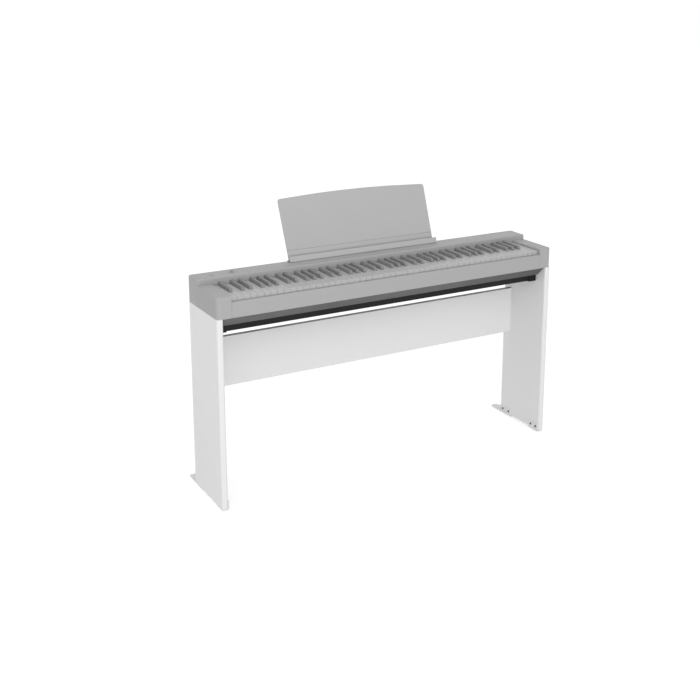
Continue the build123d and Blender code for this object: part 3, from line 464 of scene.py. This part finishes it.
def new_material(name):
    """A material with its shader, its object coordinates and its node tree."""
    material = bpy.data.materials.new(f"{name}_finish")
    material.use_nodes = True
    tree = material.node_tree
    shader = tree.nodes["Principled BSDF"]
    place = tree.nodes.new("ShaderNodeTexCoord").outputs["Object"]
    return material, tree, shader, place


def spread(tree, value, low, high, start=0.35, stop=0.65):
    """A value between two limits that follows a pattern."""
    node = tree.nodes.new("ShaderNodeMapRange")
    node.inputs["From Min"].default_value = start
    node.inputs["From Max"].default_value = stop
    node.inputs["To Min"].default_value = low
    node.inputs["To Max"].default_value = high
    tree.links.new(value, node.inputs["Value"])
    return node.outputs["Result"]


def blend_colours(tree, factor, first, second):
    """A colour between two others that follows a pattern."""
    node = tree.nodes.new("ShaderNodeMix")
    node.data_type = "RGBA"
    for socket, shade in (("A_Color", first), ("B_Color", second)):
        next(item for item in node.inputs if item.identifier == socket).default_value = (*shade, 1.0)
    tree.links.new(factor, next(item for item in node.inputs if item.identifier == "Factor_Float"))
    return next(item for item in node.outputs if item.identifier == "Result_Color")


def scaled(shade, share):
    """A colour made lighter or darker by a share."""
    return tuple(min(1.0, value * share) for value in shade)


def grained(name, shade, rough, rough_spread=0.08, tone=0.05, grains=1500.0, patches=9.0, height=0.00003,
            stretch=(1.0, 1.0, 1.0), **constant):
    """A finish with fine grain, soft patches of tone and gloss, and constant shader values."""
    material, tree, shader, place = new_material(name)
    turn = tree.nodes.new("ShaderNodeMapping")
    turn.inputs["Scale"].default_value = stretch
    tree.links.new(place, turn.inputs["Vector"])
    grain = tree.nodes.new("ShaderNodeGroup")
    grain.node_tree = grain_group()
    grain.inputs["Grains per Metre"].default_value = grains
    grain.inputs["Patches per Metre"].default_value = patches
    tree.links.new(turn.outputs["Vector"], grain.inputs["Vector"])
    colours = blend_colours(tree, grain.outputs["Tone"], scaled(shade, 1.0 - tone), scaled(shade, 1.0 + tone))
    tree.links.new(colours, shader.inputs["Base Color"])
    gloss = spread(tree, grain.outputs["Tone"], rough - rough_spread, rough + rough_spread)
    tree.links.new(gloss, shader.inputs["Roughness"])
    bump = tree.nodes.new("ShaderNodeBump")
    bump.inputs["Strength"].default_value = BUMP_STRENGTH
    bump.inputs["Distance"].default_value = height
    tree.links.new(grain.outputs["Height"], bump.inputs["Height"])
    tree.links.new(bump.outputs["Normal"], shader.inputs["Normal"])
    for socket, value in constant.items():
        shader.inputs[socket.replace("_", " ").title().replace("Ior", "IOR")].default_value = value
    return material


def white_laminate():
    """Smooth white laminate with a faint orange peel."""
    shade = bpy.context.scene.piano_colours.laminate
    return grained("white_laminate", shade, rough=0.40, tone=0.012, grains=700.0, patches=4.0,
                   height=0.00002)


def dark_edge_band():
    """Dark band on the top edge of the rear board; its dark colour is partly the board's own dark edge and partly
    painted shade from the piano above.
    """
    return grained("dark_edge_band", bpy.context.scene.piano_colours.edge_band, rough=0.45, grains=1200.0)


def powder_coat(name, shade):
    """Powder coated steel with its fine pebbled skin."""
    return grained(name, shade, rough=0.50, tone=0.10, grains=1100.0, patches=14.0, height=0.00008,
                   specular_ior_level=0.2)


def black_rail():
    """Black powder coat of the rails."""
    return powder_coat("black_rail", bpy.context.scene.piano_colours.rail)


def black_bracket():
    """Black powder coat of brackets and thumb screws."""
    return powder_coat("black_bracket", bpy.context.scene.piano_colours.rail)


def white_foot():
    """White powder coat of the feet."""
    return powder_coat("white_foot", scaled(bpy.context.scene.piano_colours.laminate, FOOT_SHADE))


def zinc_steel():
    """Zinc plated sheet with rolling marks."""
    return grained("zinc_steel", bpy.context.scene.piano_colours.steel, rough=0.34, tone=0.12,
                   grains=900.0, patches=60.0, stretch=(1.0, 1.0, 0.12), metallic=1.0)


def spring_steel():
    """Bright rolled spring strip."""
    return grained("spring_steel", bpy.context.scene.piano_colours.steel, rough=0.26, tone=0.08,
                   grains=1400.0, patches=80.0, stretch=(1.0, 0.1, 1.0), metallic=1.0)


def dark_screw():
    """Black oxide screws."""
    return grained("dark_screw", bpy.context.scene.piano_colours.screw, rough=0.36, tone=0.15,
                   patches=220.0, metallic=0.7)


def dark_rubber():
    """Matt rubber."""
    return grained("dark_rubber", bpy.context.scene.piano_colours.rubber, rough=0.78, tone=0.15,
                   grains=1800.0, patches=40.0, height=0.00006)


def contact_rubber():
    """Silicone rubber of the contact domes."""
    return grained("contact_rubber", bpy.context.scene.piano_colours.silicone, rough=0.6)


def moulded(name, shade, rough=0.5):
    """Moulded plastic with a fine spark eroded texture."""
    return grained(name, shade, rough=rough, tone=0.025, grains=1700.0, patches=6.0, height=0.00005,
                   specular_ior_level=0.3)


def dark_case():
    """Dark tray below the keys."""
    return moulded("dark_case", bpy.context.scene.piano_colours.lower_case, rough=0.46)


def grey_case():
    """Light grey case."""
    return moulded("grey_case", bpy.context.scene.piano_colours.case)


def grey_rest():
    """Light grey music rest."""
    return moulded("grey_rest", bpy.context.scene.piano_colours.rest, rough=0.46)


def grey_button():
    """Satin buttons."""
    return moulded("grey_button", bpy.context.scene.piano_colours.button, rough=0.42)


def dark_frame():
    """Keyboard frame."""
    return moulded("dark_frame", bpy.context.scene.piano_colours.plastic)


def speaker_black():
    """Loudspeakers."""
    return moulded("speaker_black", bpy.context.scene.piano_colours.plastic, rough=0.6)


def jack_black():
    """Jack plate."""
    return moulded("jack_black", bpy.context.scene.piano_colours.plastic, rough=0.44)


def natural_key():
    """Natural key caps, satin with a faint polish from the fingers."""
    return grained("natural_key", bpy.context.scene.piano_colours.natural, rough=0.38,
                   rough_spread=0.025, tone=0.01, grains=2200.0, patches=24.0, height=0.000008,
                   specular_ior_level=0.35, coat_weight=0.05, coat_roughness=0.3)


def sharp_key():
    """Sharp key caps, matt with a fine lengthwise grain."""
    return grained("sharp_key", bpy.context.scene.piano_colours.sharp, rough=0.52, tone=0.10,
                   grains=1600.0, patches=50.0, height=0.00005, stretch=(1.0, 0.15, 1.0))


def felt():
    """Pressed wool felt."""
    return grained("felt", bpy.context.scene.piano_colours.felt, rough=0.92, rough_spread=0.04,
                   tone=0.25, grains=2600.0, patches=900.0, height=0.0003, sheen_weight=0.4)


def circuit_board():
    """Solder mask with rows of tracks."""
    material, tree, shader, place = new_material("circuit_board")
    shade = bpy.context.scene.piano_colours.circuit
    tracks = tree.nodes.new("ShaderNodeTexBrick")
    tracks.inputs["Scale"].default_value = 120.0
    tracks.inputs["Mortar Size"].default_value = 0.06
    tree.links.new(place, tracks.inputs["Vector"])
    colours = blend_colours(tree, tracks.outputs["Fac"], shade, scaled(shade, TRACK_SHADE))
    tree.links.new(colours, shader.inputs["Base Color"])
    shader.inputs["Roughness"].default_value = 0.3
    return material


FINISHES = (white_laminate, dark_edge_band, black_rail, black_bracket, white_foot, zinc_steel, spring_steel,
            dark_screw, dark_rubber, contact_rubber, dark_case, grey_case, grey_rest, grey_button, dark_frame,
            speaker_black, jack_black, natural_key, sharp_key, felt, circuit_board)


def finish(slot):
    """The material of a slot, made the first time that it is asked for."""
    name = f"{slot}_finish"
    if name not in bpy.data.materials:
        maker = next(maker for maker in FINISHES if maker.__name__ == slot)
        maker()
    return bpy.data.materials[name]


def rest_plate():
    """The way up the music rest, the way out of its face and the foot of that face on the deck."""
    joint = next(joint for joint in frame["joints"] if joint["child"] == "music_rest")
    up = Vector(joint["axis"]).normalized()
    out = Vector((0.0, -up.z, up.y))
    points = [vertex.co for vertex in frame["nodes"]["music_rest"].data.vertices]
    top = max(points, key=lambda point: point.dot(up)).dot(up)
    ledge = deck_height * up.z
    face = max(point.dot(out) for point in points if point.dot(up) > (top + ledge) / 2)
    foot = Vector((0.0, (deck_height * up.y - face) / up.z, deck_height))
    return up, out, foot


def model_screw(head_radius, head_height, shank_radius, shank_length):
    """A pan head screw with a cross recess, standing on its head's seat at the origin."""
    fittings = bpy.context.scene.piano_fittings
    screw = add_cylinder("screw", (-head_radius, -head_radius, 0.0),
                         (head_radius, head_radius, head_height), SCREW_SIDES)
    edit_edges(screw, lambda a, b: min(a.z, b.z) > head_height / 2)
    bpy.ops.mesh.bevel(offset=head_height * fittings.head_round, segments=4, profile=0.55)
    edit_faces(screw, facing(DOWN))
    bpy.ops.mesh.inset(thickness=head_radius - shank_radius)
    bpy.ops.mesh.extrude_region_move(TRANSFORM_OT_translate={"value": (0.0, 0.0, -shank_length)})
    deselect()
    arm = fittings.recess_arm
    half = fittings.recess_width / 2
    for x, y in ((arm, half), (half, arm)):
        cutter = add_cube("recess", (-x, -y, head_height - fittings.recess_depth), (x, y, head_height * 2))
        combine(screw, cutter, "DIFFERENCE")
    return screw


def head_direction(low, high):
    """A screw's axis, the radius of its head and the way that it faces: inwards, backwards or down."""
    size = high - low
    head = sorted(size)[1]
    along = max(range(3), key=lambda axis: abs(size[axis] - head))
    way = Vector((0.0, 0.0, 0.0))
    way[along] = (-1.0 if low.x > 0 else 1.0, 1.0, -1.0)[along]
    return along, head / 2, way


class PIANO_OT_dress_stand(Operator):
    """Finish the boards, rails, brackets, feet and pads of the stand"""
    bl_idname = "piano.dress_stand"
    bl_label = "Dress Stand"

    def execute(self, context):
        edges = context.scene.piano_edges
        dress(("left_side_panel", "right_side_panel", "rear_board"), edges.panel)
        # The edge band's dark finish paints part of the shade under the piano onto the top edge of the rear board.
        dress(("board_edge_band",))
        dress(("front_rail", "rear_rail", "rail_brackets", "corner_brackets", "front_feet", "rear_feet"),
              edges.metal)
        dress(("floor_pads", "rubber_feet"), edges.metal)
        return {"FINISHED"}


class PIANO_OT_dress_case(Operator):
    """Finish the shells of the piano's case"""
    bl_idname = "piano.dress_case"
    bl_label = "Dress Case"

    def execute(self, context):
        edges = context.scene.piano_edges
        dress(("lower_case", "top_cover", "left_cheek", "right_cheek", "key_slip"), edges.case)
        dress(("back_panels", "jack_plate", "data_socket"), edges.metal)
        return {"FINISHED"}


class PIANO_OT_dress_keys(Operator):
    """Finish the naturals and the sharps"""
    bl_idname = "piano.dress_keys"
    bl_label = "Dress Keys"

    def execute(self, context):
        keys = [node for node, slot in slot_of.items() if slot in KEY_SLOTS]
        dress(keys, context.scene.piano_edges.key)
        return {"FINISHED"}


class PIANO_OT_dress_rest(Operator):
    """Finish the music rest"""
    bl_idname = "piano.dress_rest"
    bl_label = "Dress Music Rest"

    def execute(self, context):
        dress(("music_rest",), context.scene.piano_edges.panel)
        return {"FINISHED"}


class PIANO_OT_model_rest_band(Operator):
    """Model the raised band along the foot of the music rest, with a groove below its upper edge"""
    bl_idname = "piano.model_rest_band"
    bl_label = "Model Rest Band"

    def execute(self, context):
        fittings = context.scene.piano_fittings
        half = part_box("music_rest")[1].x - fittings.band_inset
        rise = fittings.band_thickness
        band = add_cube("music_rest_band", (-half, fittings.band_start, -rise),
                        (half, fittings.band_stop, rise))
        edit_faces(band, facing(UP))
        bpy.ops.mesh.bevel(offset=fittings.band_edge, segments=3, affect="EDGES")
        top = fittings.band_stop - fittings.groove_edge
        groove = add_cube("groove", (-half * 2, top - fittings.groove_width, -rise / 2),
                          (half * 2, top, rise * 2))
        combine(band, groove, "DIFFERENCE")
        up, out, foot = rest_plate()
        turn = Matrix((Vector((1.0, 0.0, 0.0)), up, out)).transposed().to_4x4()
        band.data.transform(Matrix.Translation(foot) @ turn)
        finish_mesh(band)
        seat(band, "music_rest", slot_of["music_rest"])
        return {"FINISHED"}


class PIANO_OT_dress_insides(Operator):
    """Finish the action, the boards and the loudspeakers inside the case"""
    bl_idname = "piano.dress_insides"
    bl_label = "Dress Insides"

    def execute(self, context):
        dress(("keyboard_frame", "key_felts", "key_springs", "contact_board", "contact_domes", "panel_board",
               "main_board", "speakers"))
        return {"FINISHED"}


class PIANO_OT_model_buttons(Operator):
    """Model the dished push buttons of the deck, each with its flange and plunger below it"""
    bl_idname = "piano.model_buttons"
    bl_label = "Model Buttons"

    def execute(self, context):
        fittings = context.scene.piano_fittings
        for node in BUTTONS:
            piece = self.model_cap(fittings, node)
            bottom, flange_low, flange_high = corner_heights(node)[:3]
            low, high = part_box(node)
            low.z = flange_low
            high.z = flange_high
            combine(piece, self.block(node, "flange", low, high), "UNION")
            low, high = box_between(node, 0.0, (bottom + flange_low) / 2)
            high.z = flange_high
            combine(piece, add_cylinder("plunger", low, high, PLUNGER_SIDES), "UNION")
            finish_mesh(piece, BUTTON_ANGLE)
            seat(piece, node, slot_of[node], node)
        return {"FINISHED"}

    def model_cap(self, fittings, node):
        """The cap, with a soft edge and a shallow dish, down to the middle of the flange."""
        low, high = box_between(node, deck_height, cad_high.z)
        _, flange_low, flange_high = corner_heights(node)[:3]
        low.z = (flange_low + flange_high) / 2
        piece = self.block(node, f"{node}_cap", low, high)
        edit_faces(piece, facing(UP))
        bpy.ops.mesh.bevel(offset=fittings.button_edge, segments=3, affect="EDGES")
        edit_faces(piece, facing(UP))
        bpy.ops.mesh.inset(thickness=fittings.dish_edge)
        bpy.ops.mesh.inset(thickness=fittings.dish_slope)
        bpy.ops.transform.translate(value=(0.0, 0.0, -fittings.dish_depth))
        return piece

    def block(self, node, name, low, high):
        """A round block for the power button, a square one for the others."""
        if node == "power_button":
            return add_cylinder(name, low, high, BUTTON_SIDES)
        return add_cube(name, low, high)


class PIANO_OT_model_volume(Operator):
    """Model the ridged knob of the volume slider"""
    bl_idname = "piano.model_volume"
    bl_label = "Model Volume Knob"

    def execute(self, context):
        fittings = context.scene.piano_fittings
        node = "volume_knob"
        low, high = box_between(node, deck_height, cad_high.z)
        knob = add_cube("volume_knob_cap", low, high)
        edit_faces(knob, facing(UP))
        bpy.ops.mesh.bevel(offset=fittings.ridge_width, segments=3, affect="EDGES")
        edit_faces(knob, facing(UP))
        bpy.ops.mesh.inset(thickness=fittings.ridge_width)
        bpy.ops.transform.translate(value=(0.0, 0.0, -fittings.knob_dish))
        half = fittings.ridge_width / 2
        for step in range(fittings.ridge_count):
            x = (low.x + high.x) / 2 + (step - (fittings.ridge_count - 1) / 2) * fittings.ridge_pitch
            ridge = add_cube("ridge", (x - half, low.y + fittings.ridge_inset, high.z - fittings.ridge_root),
                             (x + half, high.y - fittings.ridge_inset, high.z - fittings.ridge_drop))
            edit_faces(ridge, facing(UP))
            bpy.ops.mesh.bevel(offset=fittings.ridge_round, segments=2, affect="EDGES")
            combine(knob, ridge, "UNION")
        stem_low, stem_high = box_between(node, 0.0, deck_height)
        stem_high.z = (low.z + high.z) / 2
        combine(knob, add_cube("stem", stem_low, stem_high), "UNION")
        finish_mesh(knob, KNOB_ANGLE)
        seat(knob, node, slot_of[node], node)
        return {"FINISHED"}


class PIANO_OT_model_screws(Operator):
    """Model one cross recess screw of each length and copy it to every place"""
    bl_idname = "piano.model_screws"
    bl_label = "Model Screws"

    def execute(self, context):
        fittings = context.scene.piano_fittings
        node = "screws"
        patterns = {}
        copies = []
        for number, (low, high) in enumerate(loose_boxes(node)):
            along, radius, way = head_direction(low, high)
            reach = high[along] - low[along]
            head = radius * fittings.head_share
            key = round(reach, 5)
            if key not in patterns:
                patterns[key] = model_screw(radius, head, radius * fittings.shank_share, reach - head)
            shift = Matrix.Translation((low + high) / 2 + way * (reach / 2 - head))
            aim = way.to_track_quat("Z", "Y").to_matrix().to_4x4()
            turn = Matrix.Rotation(number * fittings.recess_turn, 4, "Z")
            copies.append(copy_to(patterns[key], shift @ aim @ turn))
        for pattern in patterns.values():
            bpy.data.objects.remove(pattern)
        piece = join(copies, "screw_set")
        finish_mesh(piece)
        seat(piece, ROOT, slot_of[node], node)
        return {"FINISHED"}


class PIANO_OT_model_thumb_screws(Operator):
    """Model the fluted thumb screws below the rear rail"""
    bl_idname = "piano.model_thumb_screws"
    bl_label = "Model Thumb Screws"

    def execute(self, context):
        node = "thumb_screws"
        boxes = loose_boxes(node)
        screw = self.model_one(context.scene.piano_fittings, *boxes[0])
        copies = []
        for low, high in boxes:
            centre = (low + high) / 2
            copies.append(copy_to(screw, Matrix.Translation((centre.x, centre.y, 0.0))))
        bpy.data.objects.remove(screw)
        piece = join(copies, "thumb_screw_set")
        finish_mesh(piece, FLUTE_ANGLE)
        seat(piece, ROOT, slot_of[node], node)
        return {"FINISHED"}

    def model_one(self, fittings, low, high):
        """A thumb screw on the upright axis: a fluted head below the rail and a shank up into the case."""
        rail_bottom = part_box("rear_rail")[0].z
        radius = (high.x - low.x) / 2
        head = rail_bottom - low.z
        screw = add_cylinder("thumb_screw", (-radius, -radius, low.z), (radius, radius, rail_bottom),
                             THUMB_SIDES)
        edit_edges(screw, lambda a, b: max(a.z, b.z) < low.z + head / 2)
        bpy.ops.mesh.bevel(offset=head * fittings.thumb_round, segments=3)
        edit_faces(screw, lambda face: abs(face.normal.z) < UPRIGHT and face.index % 2 == 0)
        bpy.ops.mesh.inset(thickness=fittings.flute_edge, depth=-fittings.flute_depth, use_individual=True)
        edit_faces(screw, facing(UP))
        bpy.ops.mesh.inset(thickness=radius * (1.0 - fittings.thumb_shank))
        bpy.ops.mesh.extrude_region_move(TRANSFORM_OT_translate={"value": UP * (high.z - rail_bottom)})
        deselect()
        return screw


class PIANO_OT_model_jacks(Operator):
    """Model the metal collars of the jacks and the liner and tongue of the data port"""
    bl_idname = "piano.model_jacks"
    bl_label = "Model Jacks"

    def execute(self, context):
        fittings = context.scene.piano_fittings
        collars = [self.model_collar(fittings, mounts[name]) for name in JACKS]
        piece = join(collars, "jack_collars")
        finish_mesh(piece)
        seat(piece, ROOT, "zinc_steel")
        low, high = (Vector(corner) for corner in openings["data_port"]["box_m"])
        self.line_port(fittings, low, high)
        self.model_tongue(fittings, low, high)
        return {"FINISHED"}

    def model_collar(self, fittings, mount):
        """A flat ring round the bore of a jack, rounded at its outer edges."""
        x, _, z = mount["pos_m"]
        bore = mount["dims"]["r_mm"] / 1000.0
        rise = fittings.collar_rise
        deselect()
        bpy.ops.mesh.primitive_cylinder_add(
            vertices=COLLAR_SIDES, radius=bore + fittings.collar_edge, depth=rise,
            location=(x, back_face + rise / 2, z), rotation=(pi / 2, 0.0, 0.0))
        collar = bpy.context.active_object
        bpy.ops.object.transform_apply(location=True, rotation=True)
        edit_faces(collar, lambda face: abs(face.normal.y) > FLAT)
        bpy.ops.mesh.inset(thickness=fittings.collar_edge)
        bpy.ops.mesh.bridge_edge_loops()
        edit_edges(collar, lambda a, b: min(a.y, b.y) > back_face + rise / 2)
        bpy.ops.mesh.bevel(offset=fittings.collar_round, segments=2)
        deselect()
        return collar

    def line_port(self, fittings, low, high):
        """A thin metal box against the walls of the data port, open at the back of the piano."""
        wall = fittings.liner_wall
        gap = wall / 4
        grow = fittings.port_room - gap
        liner = add_cube("data_port_liner", (low.x - grow, low.y - grow, low.z - grow),
                         (high.x + grow, back_face - gap, high.z + grow))
        edit_faces(liner, facing(BACKWARDS))
        bpy.ops.mesh.inset(thickness=wall)
        depth = back_face - low.y
        bpy.ops.mesh.extrude_region_move(TRANSFORM_OT_translate={"value": BACKWARDS * -depth})
        finish_mesh(liner)
        seat(liner, ROOT, "zinc_steel")

    def model_tongue(self, fittings, low, high):
        """The tongue in the middle of the data port, set back from its mouth."""
        middle = (low.z + high.z) / 2
        half = fittings.tongue_thickness / 2
        side = (high.x - low.x) * fittings.tongue_side
        tongue = add_cube("data_port_tongue", (low.x + side, low.y - side / 4, middle - half),
                          (high.x - side, back_face - side / 2, middle + half))
        edit_faces(tongue, facing(BACKWARDS))
        bpy.ops.mesh.bevel(offset=half / 2, segments=2, affect="EDGES")
        finish_mesh(tongue)
        seat(tongue, ROOT, "grey_button")


class PIANO_OT_set_stage(Operator):
    """Lay the floor and set the light and the camera"""
    bl_idname = "piano.set_stage"
    bl_label = "Set Stage"

    def execute(self, context):
        stage = context.scene.piano_stage
        context.scene.view_settings.view_transform = "Standard"
        self.lay_floor(stage)
        self.light_world(context.scene, stage)
        self.add_lamp("key_lamp", stage.key_place, stage.key_size, stage.key_power)
        self.add_lamp("low_lamp", stage.low_place, stage.low_size, stage.low_power)
        self.aim_camera(context.scene, stage)
        return {"FINISHED"}

    def lay_floor(self, stage):
        """A pale floor that keeps the shadow and fades into the white background."""
        deselect()
        bpy.ops.mesh.primitive_plane_add(size=stage.floor_size)
        floor = bpy.context.active_object
        floor.name = "floor"
        material = bpy.data.materials.new("pale_floor")
        material.use_nodes = True
        tree = material.node_tree
        tree.nodes.clear()
        matt = tree.nodes.new("ShaderNodeBsdfDiffuse")
        matt.inputs["Color"].default_value = (*stage.floor_tone, 1.0)
        glow = tree.nodes.new("ShaderNodeEmission")
        tree.links.new(self.seen_rays(tree, stage.floor_glow), glow.inputs["Strength"])
        both = tree.nodes.new("ShaderNodeAddShader")
        tree.links.new(matt.outputs["BSDF"], both.inputs[0])
        tree.links.new(glow.outputs["Emission"], both.inputs[1])
        output = tree.nodes.new("ShaderNodeOutputMaterial")
        tree.links.new(both.outputs["Shader"], output.inputs["Surface"])
        floor.data.materials.append(material)

    def seen_rays(self, tree, share):
        """A share for rays from the camera and from gloss and glass, and nothing for the light."""
        path = tree.nodes.new("ShaderNodeLightPath")
        total = path.outputs["Is Camera Ray"]
        for name in ("Is Glossy Ray", "Is Transmission Ray"):
            add = tree.nodes.new("ShaderNodeMath")
            add.operation = "MAXIMUM"
            tree.links.new(total, add.inputs[0])
            tree.links.new(path.outputs[name], add.inputs[1])
            total = add.outputs["Value"]
        times = tree.nodes.new("ShaderNodeMath")
        times.operation = "MULTIPLY"
        times.inputs[1].default_value = share
        tree.links.new(total, times.inputs[0])
        return times.outputs["Value"]

    def light_world(self, scene, stage):
        """Even light from all round, seen as plain white."""
        world = bpy.data.worlds.new("studio")
        scene.world = world
        world.use_nodes = True
        tree = world.node_tree
        light = tree.nodes["Background"]
        light.inputs["Color"].default_value = (1.0, 1.0, 1.0, 1.0)
        strength = tree.nodes.new("ShaderNodeMath")
        strength.operation = "ADD"
        strength.inputs[1].default_value = stage.sky
        tree.links.new(self.seen_rays(tree, 1.0 - stage.sky), strength.inputs[0])
        tree.links.new(strength.outputs["Value"], light.inputs["Strength"])

    def add_lamp(self, name, place, size, power):
        """A square soft lamp that points at the middle of the piano."""
        deselect()
        bpy.ops.object.light_add(type="AREA", location=place)
        lamp = bpy.context.active_object
        lamp.name = name
        lamp.data.size = size
        lamp.data.energy = power
        lamp.visible_camera = False
        aim = (cad_low + cad_high) / 2 - Vector(place)
        lamp.rotation_euler = aim.to_track_quat("-Z", "Y").to_euler()

    def aim_camera(self, scene, stage):
        """The camera at the height and angle of the picture."""
        deselect()
        bpy.ops.object.camera_add(location=stage.eye, rotation=(pi / 2 - stage.pitch, 0.0, -stage.yaw))
        camera = bpy.context.active_object
        camera.name = "camera"
        camera.data.lens = stage.lens
        camera.data.sensor_width = SENSOR_WIDTH
        camera.data.shift_y = stage.shift
        scene.camera = camera


STEPS = (PIANO_OT_dress_stand, PIANO_OT_dress_case, PIANO_OT_dress_keys, PIANO_OT_dress_rest,
         PIANO_OT_model_rest_band, PIANO_OT_dress_insides, PIANO_OT_model_buttons, PIANO_OT_model_volume,
         PIANO_OT_model_screws, PIANO_OT_model_thumb_screws, PIANO_OT_model_jacks, PIANO_OT_set_stage)


class PIANO_PT_panel(Panel):
    """Steps and settings of the piano"""
    bl_idname = "PIANO_PT_panel"
    bl_label = "Piano"
    bl_space_type = "VIEW_3D"
    bl_region_type = "UI"
    bl_category = "Piano"

    def draw(self, context):
        for step in STEPS:
            self.layout.operator(step.bl_idname)
        for name, group in SETTINGS.items():
            box = self.layout.box()
            for label in group.__annotations__:
                box.prop(getattr(context.scene, name), label)


CLASSES = (*SETTINGS.values(), *STEPS, PIANO_PT_panel)


def register():
    """Registers the classes and hangs the settings on the scene."""
    for entry in CLASSES:
        bpy.utils.register_class(entry)
    for name, group in SETTINGS.items():
        setattr(bpy.types.Scene, name, PointerProperty(type=group))


def unregister():
    """Takes the settings and the classes away again."""
    for name in SETTINGS:
        delattr(bpy.types.Scene, name)
    for entry in reversed(CLASSES):
        bpy.utils.unregister_class(entry)


def main():
    """Runs every step in order."""
    register()
    for step in STEPS:
        family, action = step.bl_idname.split(".")
        getattr(getattr(bpy.ops, family), action)()


if __name__ == "__main__":
    main()
